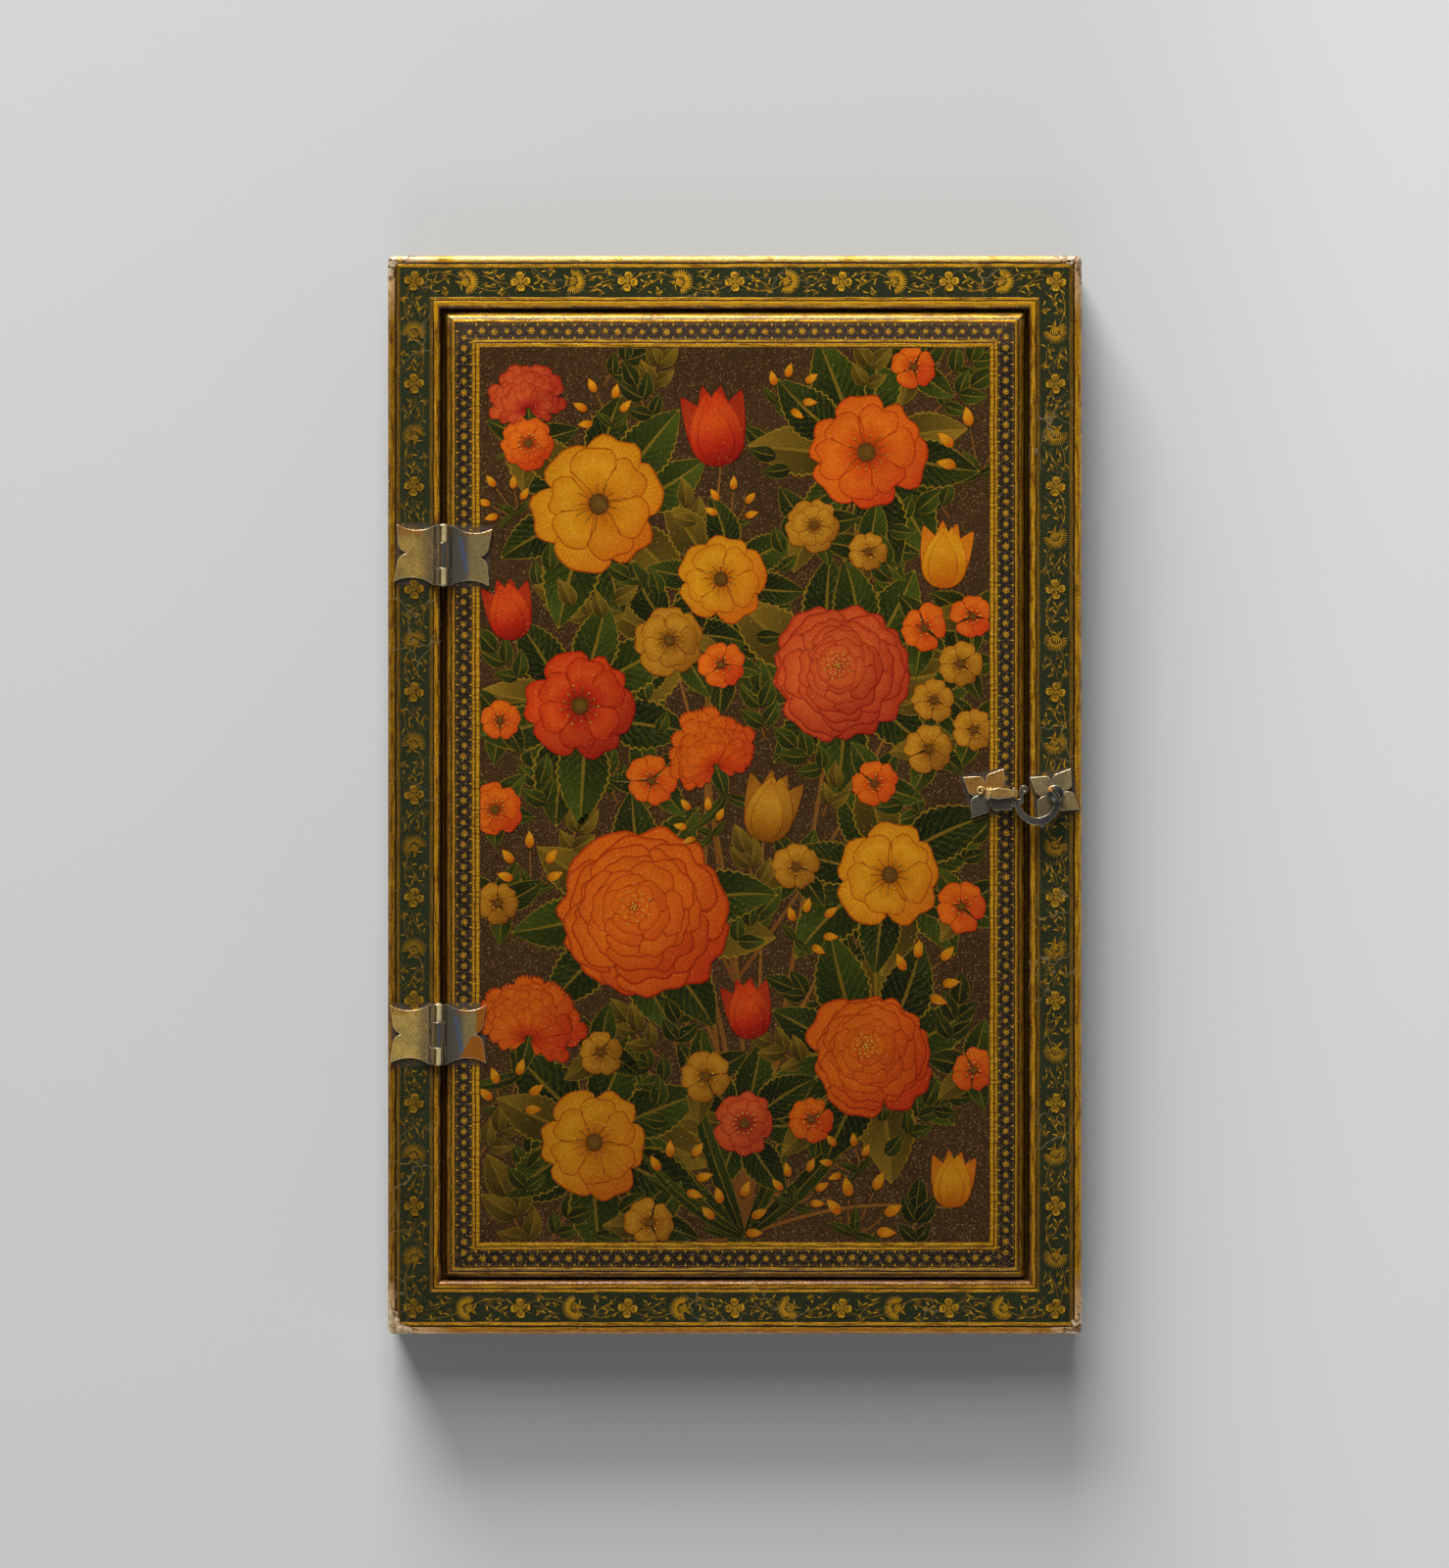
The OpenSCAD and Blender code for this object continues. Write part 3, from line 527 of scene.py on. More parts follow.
# Where things spring from the vine, as a share of the pitch and a distance from its middle line: the
# tendrils' ends, then the leaves, curls and sprays with their directions.
TENDRILS = ((0.12, 0.36, 0.4, -2.3), (0.36, 0.14, -1.2, 2.4), (0.66, 0.9, -0.6, 2.3), (0.88, 0.64, 1, -2.4))
LEAVES = ((0.14, -1.7, 0.5, 1.3, 0.36), (0.16, 1.2, 1, 1.2, 0.4), (0.19, -0.4, -0.9, 1.2, 0.44),
          (0.22, 2.1, 2.5, 1.2, 0.36), (0.23, 0.5, 0.3, 1.1, 0.42), (0.24, -2, 0.2, 1.4, 0.34),
          (0.28, 1.2, -0.4, 1.1, 0.42), (0.3, -0.9, 2.8, 1.2, 0.4), (0.34, -2.1, 2.8, 1.2, 0.36),
          (0.35, 2, 0.4, 1.1, 0.36), (0.67, 2, 0.4, 1.3, 0.36), (0.68, -0.6, 1.2, 1.2, 0.44),
          (0.71, -2.1, 2.7, 1.3, 0.36), (0.73, 1, 2, 1.1, 0.42), (0.76, 0.3, -0.8, 1.2, 0.44),
          (0.78, -1.3, 0.5, 1.2, 0.4), (0.81, 2, 2.6, 1.2, 0.36), (0.83, 0.6, 0.9, 1.1, 0.4),
          (0.86, -2, 0.6, 1.3, 0.34), (0.88, -0.6, 2.4, 1.1, 0.4))
CURLS = ((0.18, -1.2, 0.6, 1), (0.27, 1.4, -0.9, -1), (0.72, 1.5, 0.4, 1), (0.81, -1.3, -0.6, -1))
SPRAYS = ((0.2, 2.3, 2.4), (0.21, -2.5, 0.3), (0.31, 0.1, 0.8),
          (0.69, -1.7, 0.6), (0.74, 2.5, 2.9), (0.84, -0.2, 2.2))


def rail_run(length, count, crest):
    """One side's scroll along x, from the flower in one corner to the last before the next corner. The vine
    is a sine, and every other cell is the mirror image of the last."""
    made, pitch = [], length / count
    step, bow = np.linspace(0, 1, 25), np.linspace(0, 1, 9)
    for k in range(count):
        s0, hand = k * pitch - length / 2, 1 if k % 2 else -1
        cell = [ribbon(s0 + pitch * step, 2 * hand * np.sin(2 * np.pi * step), 0.13, PALE_GOLD)]
        for a, b, c, d in TENDRILS:
            px, py = s0 + pitch * (a + (b - a) * bow), hand * (c + (d - c) * bow ** 2)
            cell.append(ribbon(px, py, 0.11, PALE_GOLD, 0.3))
        for share, off, turn, size, wide in LEAVES:
            at = (s0 + share * pitch, off * hand)
            turn = turn + 0.3 * np.sin(5 * share + 2.1 * k)
            size = size * (1 + 0.2 * np.sin(9 * share + 1.3 * k))
            cell.append(blade(at, turn * hand, size, 0.75 * wide, LEAF_GOLD, 0.35 * hand, cells=TINY))
        for share, off, turn, way in CURLS:
            at = (s0 + share * pitch, off * hand)
            cell.append(curl(at, turn * hand, 0.55, 0.13, PALE_GOLD, way * hand))
        for share, off, turn in SPRAYS:
            at = (s0 + share * pitch, off * hand)
            cell += [blade(at, (turn + lean) * hand, 1.5, 0.13, PALE_GOLD, 0.3, cells=TINY)
                     for lean in (-0.4, 0, 0.4)]
        cell += moved(rail_palmette(np.pi + 0.3 * hand, crest), at=(s0 + pitch / 2, 0))
        cell += moved(rail_flower(0.1 * hand), at=(s0, 0))
        made += piled(cell, step=0.002)
    return made


MIDDLE = 5.65
scroll = []
for side, (length, count, out, crest) in enumerate(
        ((137, 6, CASE_HALF[1], 0.8), (219, 10, CASE_HALF[0], 0.3)) * 2):
    run = moved(rail_run(length, count, crest), at=(0, MIDDLE - out))
    scroll += moved(run, side * np.pi / 2)
lay("rail_scroll", scroll, FACE, "case", brush_gold)


# Looking glass: a silvered sheet with a ground edge, lying on paper. Old silvering has gone cloudy and
# spotted near the rim.
GLASS_HALF = (62.1, 103.1)
mirror_paper, tree, shader = material("mirror_paper", Roughness=0.9)
pulp = noise(place_mm(tree)[3], 0.8, 6)
feed(shader, Base_Color=mix(pulp, srgb(150, 130, 98), srgb(196, 178, 140)))
dress(mirror_paper, "mirror_backing")

silvered, tree, shader = material("silvered_glass", Metallic=0.72)
spot = place_mm(tree)[3]
foxed = noise(spot, 0.5, 6, 0.7).rise(0.5, 0.66) * border_of(tree, GLASS_HALF)[0].rise(30, 5)
clouded = noise(spot, 0.03, 5)
silver = mix(clouded.rise(0.35, 0.65), srgb(206, 210, 208), srgb(176, 180, 176))
feed(shader, Base_Color=mix(foxed, silver, srgb(62, 54, 44)), Roughness=clouded * 0.16 + 0.02)
dress(silvered, "mirror_glass")

# Slips: coved strips of gilded wood, mitred and glued over the edge of the glass. They hold it in the
# recess and stop the door.
slip_gold, tree, shader = material("slip_gilding", Coat_Weight=0.2, Coat_Roughness=0.2)
tone, cracks, rough = call(tree, age, Crack=0.8)
colour, rubbed, tooled = call(tree, gilding, Colour=GILT, Gilt=1, Tone=tone)
feed(shader, Base_Color=colour, Metallic=rubbed * -0.6 + 0.65, Roughness=rough + 0.1, Normal=tooled)
dress(slip_gold, "slip_top", "slip_bottom", "slip_left", "slip_right")


# Door: one board with a rounded, gilded edge. A ruled border runs round a brown ground that is strewn
# with gold dust; the inside is plain red-brown lacquer with gold rules.
DOOR_HALF = (62.05, 103.05)
door_paint, tree, shader = material(
    "door_lacquer", Specular_IOR_Level=0.3, Coat_Weight=0.25, Coat_Roughness=0.08)
depth, corner, height, upright = border_of(tree, DOOR_HALF)
tone, cracks, rough = call(tree, age, Crack=0.4)
x, y, z, spot = place_mm(tree)
front, gilt = bands(depth, 10, [
    (0, GILT, 1), (1.35, LINE, 0), (1.7, GILT, 1), (2.3, srgb(38, 32, 25), 0),
    (6.15, GILT, 1), (6.6, LINE, 0), (6.9, GILT, 1), (7.6, srgb(60, 39, 18), 0)])
front = mix((1 - gilt) * y.rise(95, 97) * 0.5, front, srgb(78, 62, 52))
# The outer gold band on the door's uprights takes the full painted shade.
front, rubbed, tooled = call(tree, gilding, Colour=front, Gilt=gilt, Tone=tone,
                             Upright=upright * depth.rise(2.2, 1.8), Ruled=1, Handled=1)
flakes = call(tree, dust, Density=0.62)[0] * (1 - gilt)
front = mix(flakes * 0.75, front, srgb(160, 122, 68))

# Painted light: a painted highlight on the upper edge, a painted highlight in cream along the lower one, and
# painted shade in the gap at the sides and on the left edge.
grit = noise(spot, 1.8, 3)
# A painted highlight: the upper rounded edge is brightened to pale gold.
crest = depth.rise(2.4, 0.8) * y.rise(99, 101)
front = mix(crest * grit.rise(0.42, 0.62) * 0.3, front, srgb(240, 204, 124))
# A painted highlight: a cream line along the lower rounded edge.
sill = depth.rise(0.6, 0.3) * height.rise(15.4, 15.8) * y.rise(-101.8, -102.4)
front = mix(sill * grit.rise(0.36, 0.5), front, srgb(236, 214, 188))
# Painted shade: the outer rounding is darkened in the gap, most along the sides.
gap = depth.rise(0.55, 0.3) * height.rise(17.4, 17)
front = mix(gap * (0.8 - abs(y).rise(98, 102) * 0.75), front, srgb(26, 13, 6))
# Painted shade: the left edge is darkened to a deep brown.
front = mix(depth.rise(1, 0.6) * x.rise(-56, -60) * 0.75, front, srgb(40, 19, 5))
inside = bands(depth, 60, [
    (0, srgb(70, 30, 16), 0), (7, GILT, 1), (7.8, srgb(44, 20, 12), 0),
    (12, GILT, 1), (12.5, srgb(82, 32, 17), 0)])[0]
facing = height.rise(13, 13.4)
colour = mix(cracks * 0.5, mix(facing, inside, front), srgb(30, 20, 12))
colour = mix(call(tree, grime)[0] * facing * 0.75, colour, GRIME)
shine = (gilt + flakes * 0.6 - rubbed) * facing
feed(shader, Base_Color=colour, Metallic=shine * 0.35, Roughness=facing * (rough - 0.3) + 0.3, Normal=tooled)
dress(door_paint, "door_board")


# Border of the door: a chain of tiny gold sprigs, each in a rounded panel of the dark band, with gold cusps
# where the panels meet.
CHAIN_MIDDLE = 4.3


def larger(sheets, times):
    """Copies of sheets, enlarged about the origin."""
    return [dict(sh, xy=sh["xy"] * times) for sh in sheets]


def door_run(length, count):
    """One side's chain along x: a five-lobed sprig in each cell, no two quite alike, two pointed cusps at
    its end, and scallops along both edges of the band."""
    made, pitch = [], length / count
    arch = np.linspace(0, 1, 6)
    scallop = 1.68 - 0.14 * np.abs(np.sin(np.pi * arch)) ** 0.5
    sprig = [blade((-0.85, 0), 0, 1.75, 0.22, LEAF_GOLD, full=1.6, cells=SMALL),
             disc((0.1, 0), 0.22, LEAF_GOLD, 6)]
    sprig += [blade((start, 0), way * 0.85, long, 0.2, LEAF_GOLD, -0.1 * way, full=1.3, cells=TINY)
              for start, long in ((-0.55, 0.95), (-0.05, 0.8)) for way in (1, -1)]
    for k in range(count):
        edge = k * pitch - length / 2
        cell = [ribbon(edge + pitch * arch, way * scallop, 0.07, PALE_GOLD) for way in (1, -1)]
        cell += [blade((edge, way * 1.75), -way * np.pi / 2, 0.7, 0.42, LEAF_GOLD, full=0.4, cells=TINY)
                 for way in (1, -1)]
        middle = (edge + pitch / 2, 0.12 * np.sin(3.1 * k))
        cell += moved(larger(sprig, 1 + 0.15 * np.sin(1.7 * k)), 0.3 * np.sin(2.4 * k), middle)
        made += piled(cell, step=0.002)
    return made


chain = []
for side, (length, count, out) in enumerate(((115.5, 44, DOOR_HALF[1]), (197.5, 84, DOOR_HALF[0])) * 2):
    run = moved(door_run(length, count), at=(0, CHAIN_MIDDLE - out))
    chain += moved(run, side * np.pi / 2)
lay("door_chain", chain, FACE, "door", brush_gold)


# Inside of the door: a lobed medallion with a drop at each end, and a spray in each corner, brushed in gold
# on the plain lacquer.
BOARD_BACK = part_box("door_board")[0][2] * 1000
RED_BROWN = [srgb(58, 24, 13)] * 2
t = np.linspace(0, 2 * np.pi, 193)
lobes = 1 + 0.1 * np.abs(np.sin(6 * t))
medallion = [ribbon(22 * k * lobes * np.cos(t), 36 * k * lobes * np.sin(t), wide, LEAF_GOLD)
             for k, wide in ((1, 0.6), (0.95, 0.25))]
for way in (1, -1):
    up = way * np.pi / 2
    medallion += [blade((0, way * far), up, long, wide, tints, full=0.7, cells=(14, 4))
                  for far, long, wide, tints in ((41, 13, 6, LEAF_GOLD), (41.6, 11.4, 4.8, RED_BROWN))]
    medallion += [blade((0, way * 42.5), up + lean, 7, 1.1, LEAF_GOLD, -lean)
                  for lean in (-0.25, 0, 0.25)]
    for hand in (1, -1):
        turn = hand * way
        medallion += [curl((hand * 3.5 * k, way * 4 * k), up - turn * 0.5, size, 0.4, PALE_GOLD, turn, 1.4)
                      for k, size in ((1, 6.5), (2.6, 5))]
        medallion += [blade((hand * 3 * k, way * 5 * k), up - turn * lean, 5, 1.2, LEAF_GOLD,
                            0.3 * turn) for k, lean in ((1, 1), (2, -0.2), (3.4, 0.9), (4.2, 0.1))]
    medallion += moved(larger(rail_flower(np.pi / 4), 1.7), at=(0, way * 21))
    medallion += moved(larger(rail_palmette(0.5 * np.pi * (1 - way)), 1.8), at=(way * 13.5, 0))
medallion += larger(rail_flower(0), 2.4)
spray = larger(rail_palmette(0), 1.9)
spray += [curl((0, 0), hand * 2.3, 3.4, 0.35, PALE_GOLD, hand, 1.4) for hand in (1, -1)]
spray += [blade((0, 0), hand * lean, 9, 1.3, LEAF_GOLD, -0.25 * hand)
          for lean in (1.25, 1.7) for hand in (1, -1)]
for turn, at in ((-2.2, (41.5, 82)), (-0.94, (-41.5, 82)), (2.2, (41.5, -82)), (0.94, (-41.5, -82))):
    medallion += moved(spray, turn, at)
lay("door_medallion", piled(medallion, 0.004), BOARD_BACK, "door", brush_gold, -1)


# Painted panel: a loose spray of garden flowers in body colour, shaded with fine strokes and veined in
# gold, under amber varnish. Stems and leaves come first, then the flowers over them.
PANEL = np.array([54.2, 95.2])
chance = np.random.default_rng(71)
PETAL = {"orange": [srgb(172, 50, 8), srgb(218, 88, 12), srgb(232, 118, 24), srgb(222, 100, 16)],
         "red": [srgb(140, 20, 10), srgb(204, 48, 18), srgb(224, 86, 26), srgb(206, 58, 16)],
         "rose": [srgb(150, 26, 20), srgb(200, 62, 40), srgb(224, 106, 46), srgb(206, 76, 36)],
         "yellow": [srgb(176, 92, 6), srgb(214, 142, 12), srgb(226, 162, 30), srgb(216, 140, 14)],
         "gold": [srgb(124, 72, 8), srgb(178, 120, 20), srgb(202, 148, 40), srgb(184, 124, 22)]}
SHADE = {"orange": srgb(196, 34, 18), "red": srgb(134, 14, 16), "rose": srgb(158, 22, 22),
         "yellow": srgb(206, 96, 10), "gold": srgb(120, 70, 12)}
LEAF = {"green": [srgb(30, 38, 10), srgb(50, 64, 16), srgb(70, 84, 24)],
        "deep": [srgb(22, 28, 10), srgb(36, 46, 14), srgb(50, 60, 20)],
        "olive": [srgb(70, 54, 14), srgb(112, 88, 24), srgb(146, 114, 34)]}
STALK = [srgb(122, 70, 22), srgb(150, 96, 32)]
POLLEN = [srgb(236, 190, 70), srgb(206, 140, 36)]
EYE = [srgb(120, 92, 20), srgb(96, 50, 8)]
stems, leaves, blooms, stamens = [], [], [], []
taken = [(53.85, 0.3, 8), (-57, 51, 7), (-58, -51, 7)]


def fan(at, turn, half_angle, root, reach, tints, droop=0.3, ruffle=0, waves=3, notch=0, cells=(5, 6)):
    """A petal: a sector from root to reach, narrow at its root, with round shoulders, a waved rim and a
    dip in its middle. Its radius at v is reach times 1 - droop |v|^3 + ruffle cos(waves pi v + 3 turn)
    - notch e^(-8 v^2)."""
    u = np.linspace(0, 1, cells[0] + 1)[:, None]
    v = np.linspace(-1, 1, cells[1] + 1)[None, :]
    rim = 1 - droop * np.abs(v) ** 3 + ruffle * np.cos(waves * np.pi * v + turn * 3)
    rim = rim - notch * np.exp(-8 * v ** 2)
    radius = root + (reach * rim - root) * u
    angle = turn + half_angle * v * (0.45 + 0.55 * u ** 0.5)
    return sheet_of(at[0] + radius * np.cos(angle), at[1] + radius * np.sin(angle), tints)


def stem(start, tip, sway, width=0.8):
    """A stalk on a curve that swings out by sway between its ends."""
    t = np.linspace(0, 1, 20)
    dx, dy = tip[0] - start[0], tip[1] - start[1]
    out = sway * np.sin(np.pi * t) / np.hypot(dx, dy)
    stems.append(ribbon(start[0] + dx * t - dy * out, start[1] + dy * t + dx * out, width, STALK, 0.5))


def leaf(at, turn, length, kind, bend=0.15, wide=0.64):
    """A toothed leaf, no two of quite the same colour."""
    tints = [tuple(np.array(t) * chance.uniform(0.8, 1.2)) for t in LEAF[kind]]
    leaves.append(blade(at, turn, length, length * wide, tints, bend, 0.72, 11, (22, 2)))


def open_up(petals, at, size, hue):
    """Lights a flower's petals from the upper left, and piles them up in order."""
    for sh in petals:
        off = (sh["xy"] - np.array(at)) / size
        low = np.clip(0.12 + 0.62 * (off[:, :1] - off[:, 1:]) + 0.25 * chance.uniform(-1, 1), 0, 1) * 0.75
        sh["tint"] = sh["tint"] * (1 - low) + np.array(SHADE[hue][:3]) * low
    blooms.extend(piled(petals))
    taken.append((at[0], at[1], size))


def rose(at, size, hue):
    """A full rose: rings of broad, ruffled petals that shrink and drift towards the heart."""
    petals, turn = [], chance.uniform(0, 2)
    rings = ((1, 7), (0.9, 6), (0.78, 7), (0.66, 6), (0.54, 6), (0.42, 5), (0.3, 4), (0.19, 4))
    for ring, (share, count) in enumerate(rings):
        heart, far = along(at, 2.2, size * 0.018 * ring), size * share
        for k in range(count):
            a = turn + 2 * np.pi * (k + 0.5 * (ring % 2) + 0.22 * chance.uniform(-1, 1)) / count
            petals.append(fan(heart, a, 1.28 * np.pi / count, far * 0.1, far * chance.uniform(0.9, 1.07),
                              PETAL[hue], droop=0.2, ruffle=0.025, waves=chance.uniform(2, 3.5),
                              notch=chance.uniform(0, 0.09), cells=(7, 14)))
    open_up(petals, at, size, hue)
    heart = along(at, 2.2, size * 0.13)
    for r, a in zip(np.linspace(0.2, size * 0.2, 30), np.arange(30) * 2.4):
        stamens.append(disc(along(heart, a, r), 0.24, POLLEN, 6))


def blossom(at, size, hue, count=5):
    """An open flower with two rings of notched petals, or one where it is small, a dark eye and a spray of
    stamens."""
    large = size > 6
    petals, turn = [], chance.uniform(0, 2)
    for ring, share in enumerate((1, 0.8) if large else (1,)):
        for k in range(count):
            a = turn + 2 * np.pi * (k + 0.5 * ring + 0.1 * chance.uniform(-1, 1)) / count
            reach = size * share * chance.uniform(0.92, 1.06)
            petals.append(fan(at, a, 1.16 * np.pi / count, size * 0.08, reach, PETAL[hue], ruffle=0.02,
                              waves=2.5, notch=chance.uniform(0.03, 0.12), cells=(6, 10)))
    open_up(petals, at, size, hue)
    stamens.append(disc(at, size * 0.15, EYE, 12))
    for a in turn + np.linspace(0, 2 * np.pi, 13 if large else 8, endpoint=False):
        r = np.array([0.1, size * chance.uniform(0.26, 0.36)])
        stamens.append(ribbon(at[0] + r * np.cos(a), at[1] + r * np.sin(a), 0.12, STALK))
        stamens.append(disc(along(at, a, r[1]), 0.22, POLLEN, 6))


def tulip(at, size, turn, hue):
    """A cup seen from the side: dark petals behind, then broad ones that wrap the front."""
    behind = ((0.3, 0.44, 1, 0.1), (-0.3, 0.44, 1, -0.1), (0.1, 0.4, 1.04, 0), (-0.12, 0.4, 1.02, 0))
    before = ((0.27, 0.56, 0.93, -0.22), (-0.27, 0.56, 0.93, 0.22), (0.03, 0.46, 0.86, 0.05))
    petals = [blade(at, turn + lean, size * long, size * wide, PETAL[hue], bow, 0.7, cells=(14, 6))
              for lean, wide, long, bow in behind + before]
    for sh in petals[:len(behind)]:
        sh["tint"] = sh["tint"] * 0.45 + np.array(SHADE[hue][:3]) * 0.55
    open_up(petals, along(at, turn, size * 0.5), size * 0.62, hue)
    for lean in (0.95, -0.95):
        leaves.append(blade(at, turn + lean, size * 0.4, size * 0.13, LEAF["olive"], cells=(6, 2)))


def carnation(at, size, turn, hue):
    """A fan of narrow fringed petals that spills from a long green cup."""
    petals = []
    rows = ((1, 17, 2.3), (0.88, 13, 1.9), (0.74, 10, 1.4), (0.6, 7, 0.95), (0.44, 4, 0.5))
    for share, count, spread in rows:
        for a in np.linspace(-spread, spread, count):
            long = size * share * chance.uniform(0.86, 1.06) * (1 - 0.13 * a ** 2)
            petals.append(fan(at, turn + a + 0.1 * chance.uniform(-1, 1), 0.2, size * 0.05, long, PETAL[hue],
                              droop=0.14, ruffle=0.035, waves=6, cells=(5, 14)))
    open_up(petals, along(at, turn, size * 0.5), size * 0.7, hue)
    cup = along(at, turn, -size * 0.6)
    leaves.append(blade(cup, turn, size * 0.9, size * 0.3, LEAF["green"], full=1.2, cells=(10, 4)))
    for lean in (2.3, -2.4):
        leaf(along(at, turn, -size * 0.5), turn + lean, size * 0.8, "green", -0.3 * np.sign(lean), 0.25)


def bud(at, size, turn, hue):
    """A closed bud held by three sepals."""
    petals = [blade(at, turn + lean, size * long, size * wide, PETAL[hue], -lean, 0.7, cells=(8, 4))
              for lean, long, wide in ((0.2, 0.95, 0.42), (-0.2, 0.95, 0.42), (0, 1, 0.36))]
    open_up(petals, along(at, turn, size * 0.5), size * 0.5, hue)
    taken.pop()
    base = along(at, turn, -0.12 * size)
    for lean in (0.45, -0.45, 0):
        leaves.append(blade(base, turn + lean, size * 0.62, size * 0.2, LEAF["green"], -0.4 * lean,
                            cells=(6, 2)))


def twig(at, turn, size, kind):
    """A rose leaf: two pairs of leaflets along a stalk, and one at its tip."""
    stem(at, along(at, turn, size), 0.06 * size, 0.45)
    leaflets = ((0.3, 0.95, 0.5), (0.3, -0.95, 0.5),
                (0.68, 0.75, 0.56), (0.68, -0.75, 0.56), (0.98, 0, 0.62))
    for share, lean, long in leaflets:
        leaf(along(at, turn, share * size), turn + lean + 0.15 * chance.uniform(-1, 1),
             size * long * chance.uniform(0.9, 1.12), kind, -0.2 * np.sign(lean))


def bud_spray(at, turn, size, hue):
    """Buds on thin stalks that fork from one point, with a few narrow leaves."""
    for lean, long in ((0, 1), (0.55, 0.78), (-0.55, 0.74), (1, 0.5), (-1, 0.46)):
        tip = along(at, turn + lean, size * long)
        stem(at, tip, 0.12 * size * lean, 0.35)
        bud(tip, size * 0.42, turn + 1.2 * lean, hue)
    for lean in (1.5, -1.5, 0.3):
        leaf(at, turn + lean, size * 0.6, "green", 0.1, 0.4)
    taken.append((*along(at, turn, size * 0.6), size * 0.75))


def bower(at, size, count, long):
    """Leaves that stand out all round behind a flower."""
    kinds = ("green", "deep", "olive", "green", "deep")
    turn = chance.uniform(0, 2)
    for k in range(count):
        a = turn + 2 * np.pi * k / count + chance.uniform(-0.2, 0.2)
        leaf(along(at, a, size * 0.55), a + chance.uniform(-0.35, 0.35), long * chance.uniform(0.85, 1.2),
             kinds[k % 5], chance.uniform(-0.25, 0.25))


ROOT = (2, -94)
FORK = (0, -40)
ROSES = (((-20, -26), 19, "orange"), ((23, 26), 15.5, "rose"), ((29, -55), 14, "orange"))
OPEN = (((-29, 62), 15, "yellow"), ((28, 73), 13.5, "orange"), ((-33, 19), 12.5, "red"),
        ((-3, 46), 10.5, "yellow"), ((-30, -74), 12.5, "yellow"), ((33, -17), 12, "yellow"),
        ((-14, 33), 8, "gold"), ((2, -70), 7, "rose"))
TULIPS = (((-3, 70), 17, 1.7, "red"), ((44, 44), 14, 1.45, "yellow"),
          ((-47, 33), 13, 1.75, "red"), ((6, -10), 15, 1.35, "gold"),
          ((4, -52), 13, 1.75, "red"), ((46, -88), 12, 1.5, "yellow"))
CARNATIONS = (((-44, -52), 15, 1.35, "orange"), ((-4, 6), 13, 1.9, "orange"),
              ((-44, 82), 11, 1.7, "rose"))
for at, size, hue in ROSES + OPEN:
    stem(ROOT, at, chance.uniform(-14, 14), 1)
    bower(at, size, 9 if size > 11 else 7, 17 if size > 11 else 12)
for at, size, hue in ROSES:
    rose(at, size, hue)
for at, size, hue in OPEN:
    blossom(at, size, hue, 6 if size > 12 else 5)
for at, size, turn, hue in TULIPS:
    stem(ROOT if at[1] < 0 else FORK, at, chance.uniform(-8, 8))
    tulip(at, size, turn, hue)
for at, size, turn, hue in CARNATIONS:
    carnation(at, size, turn, hue)
for lean, long in ((-0.95, 44), (-0.5, 34), (0.42, 40), (0.9, 50), (1.15, 30)):
    leaf(ROOT, np.pi / 2 + lean, long, "green", -0.25 * lean, 0.1)

# Twigs, bud sprays and small flowers go where the panel is still bare.
HUES = ("yellow", "orange", "red", "yellow", "gold", "orange")
KINDS = ("green", "olive", "deep", "green")
for k, at in enumerate(chance.uniform(-1, 1, (1400, 2)) * (PANEL - 3)):
    room = min(np.hypot(at[0] - a, at[1] - b) - r for a, b, r in taken)
    if room < 3:
        continue
    turn = np.pi / 2 + chance.uniform(-1.1, 1.1)
    size = np.clip(room * 1.7, 10.5, 15)
    if k % 3 == 0 and room > 4.5:
        bud_spray(along(at, turn, -0.5 * size), turn, size * 0.7, HUES[k % 6])
    elif k % 3 == 1 and room > 3.8:
        bower(at, 2, 5, 8.5)
        blossom(at, chance.uniform(4.4, 6.2), HUES[k % 6])
    else:
        twig(along(at, turn, -0.6 * size), turn, size, KINDS[k % 4])
        taken.append((at[0], at[1], size * 0.42))

for sheets in (stems, leaves, blooms, stamens):
    for k, sh in enumerate(sheets):
        sh["xy"] = np.clip(sh["xy"], -PANEL, PANEL)
        sh["lift"] = sh.get("lift", 0.035 * (k * 0.618034 % 1))

# Body colour: the tint that each sheet carries, with fine strokes from root to tip, an outline, a rib that
# parts a light half from a dark one, and stippling where the brush was dry, darker evenly towards the bottom.
strokes, (count, slant), end = group(
    "fine_strokes", ["Count", "Slant"], ["Strokes", "Outline", "Rib", "Half", "Stipple"])
x, y, z, spot = place_mm(strokes)
u, v, w = parts(node(strokes, "UVMap", 0, uv_map="brush"))
across = abs(v * 2 - 1)
lane = across * count + u * slant + noise(spot, 0.8, 3) * 1.2
wave = (lane * (2 * np.pi)).calc("SINE") * 0.5 + 0.5
feed(end, Strokes=wave.rise(0.55, 0.95), Outline=across.rise(0.9, 0.98).most(u.rise(0.95, 0.995)),
     Rib=across.rise(0.09, 0.03), Half=v.rise(0.44, 0.56),
     Stipple=(noise(spot, 2.4, 3, 0.7) * 0.8 + 0.4) * (y.rise(-85, 15) * 0.24 + 0.78))


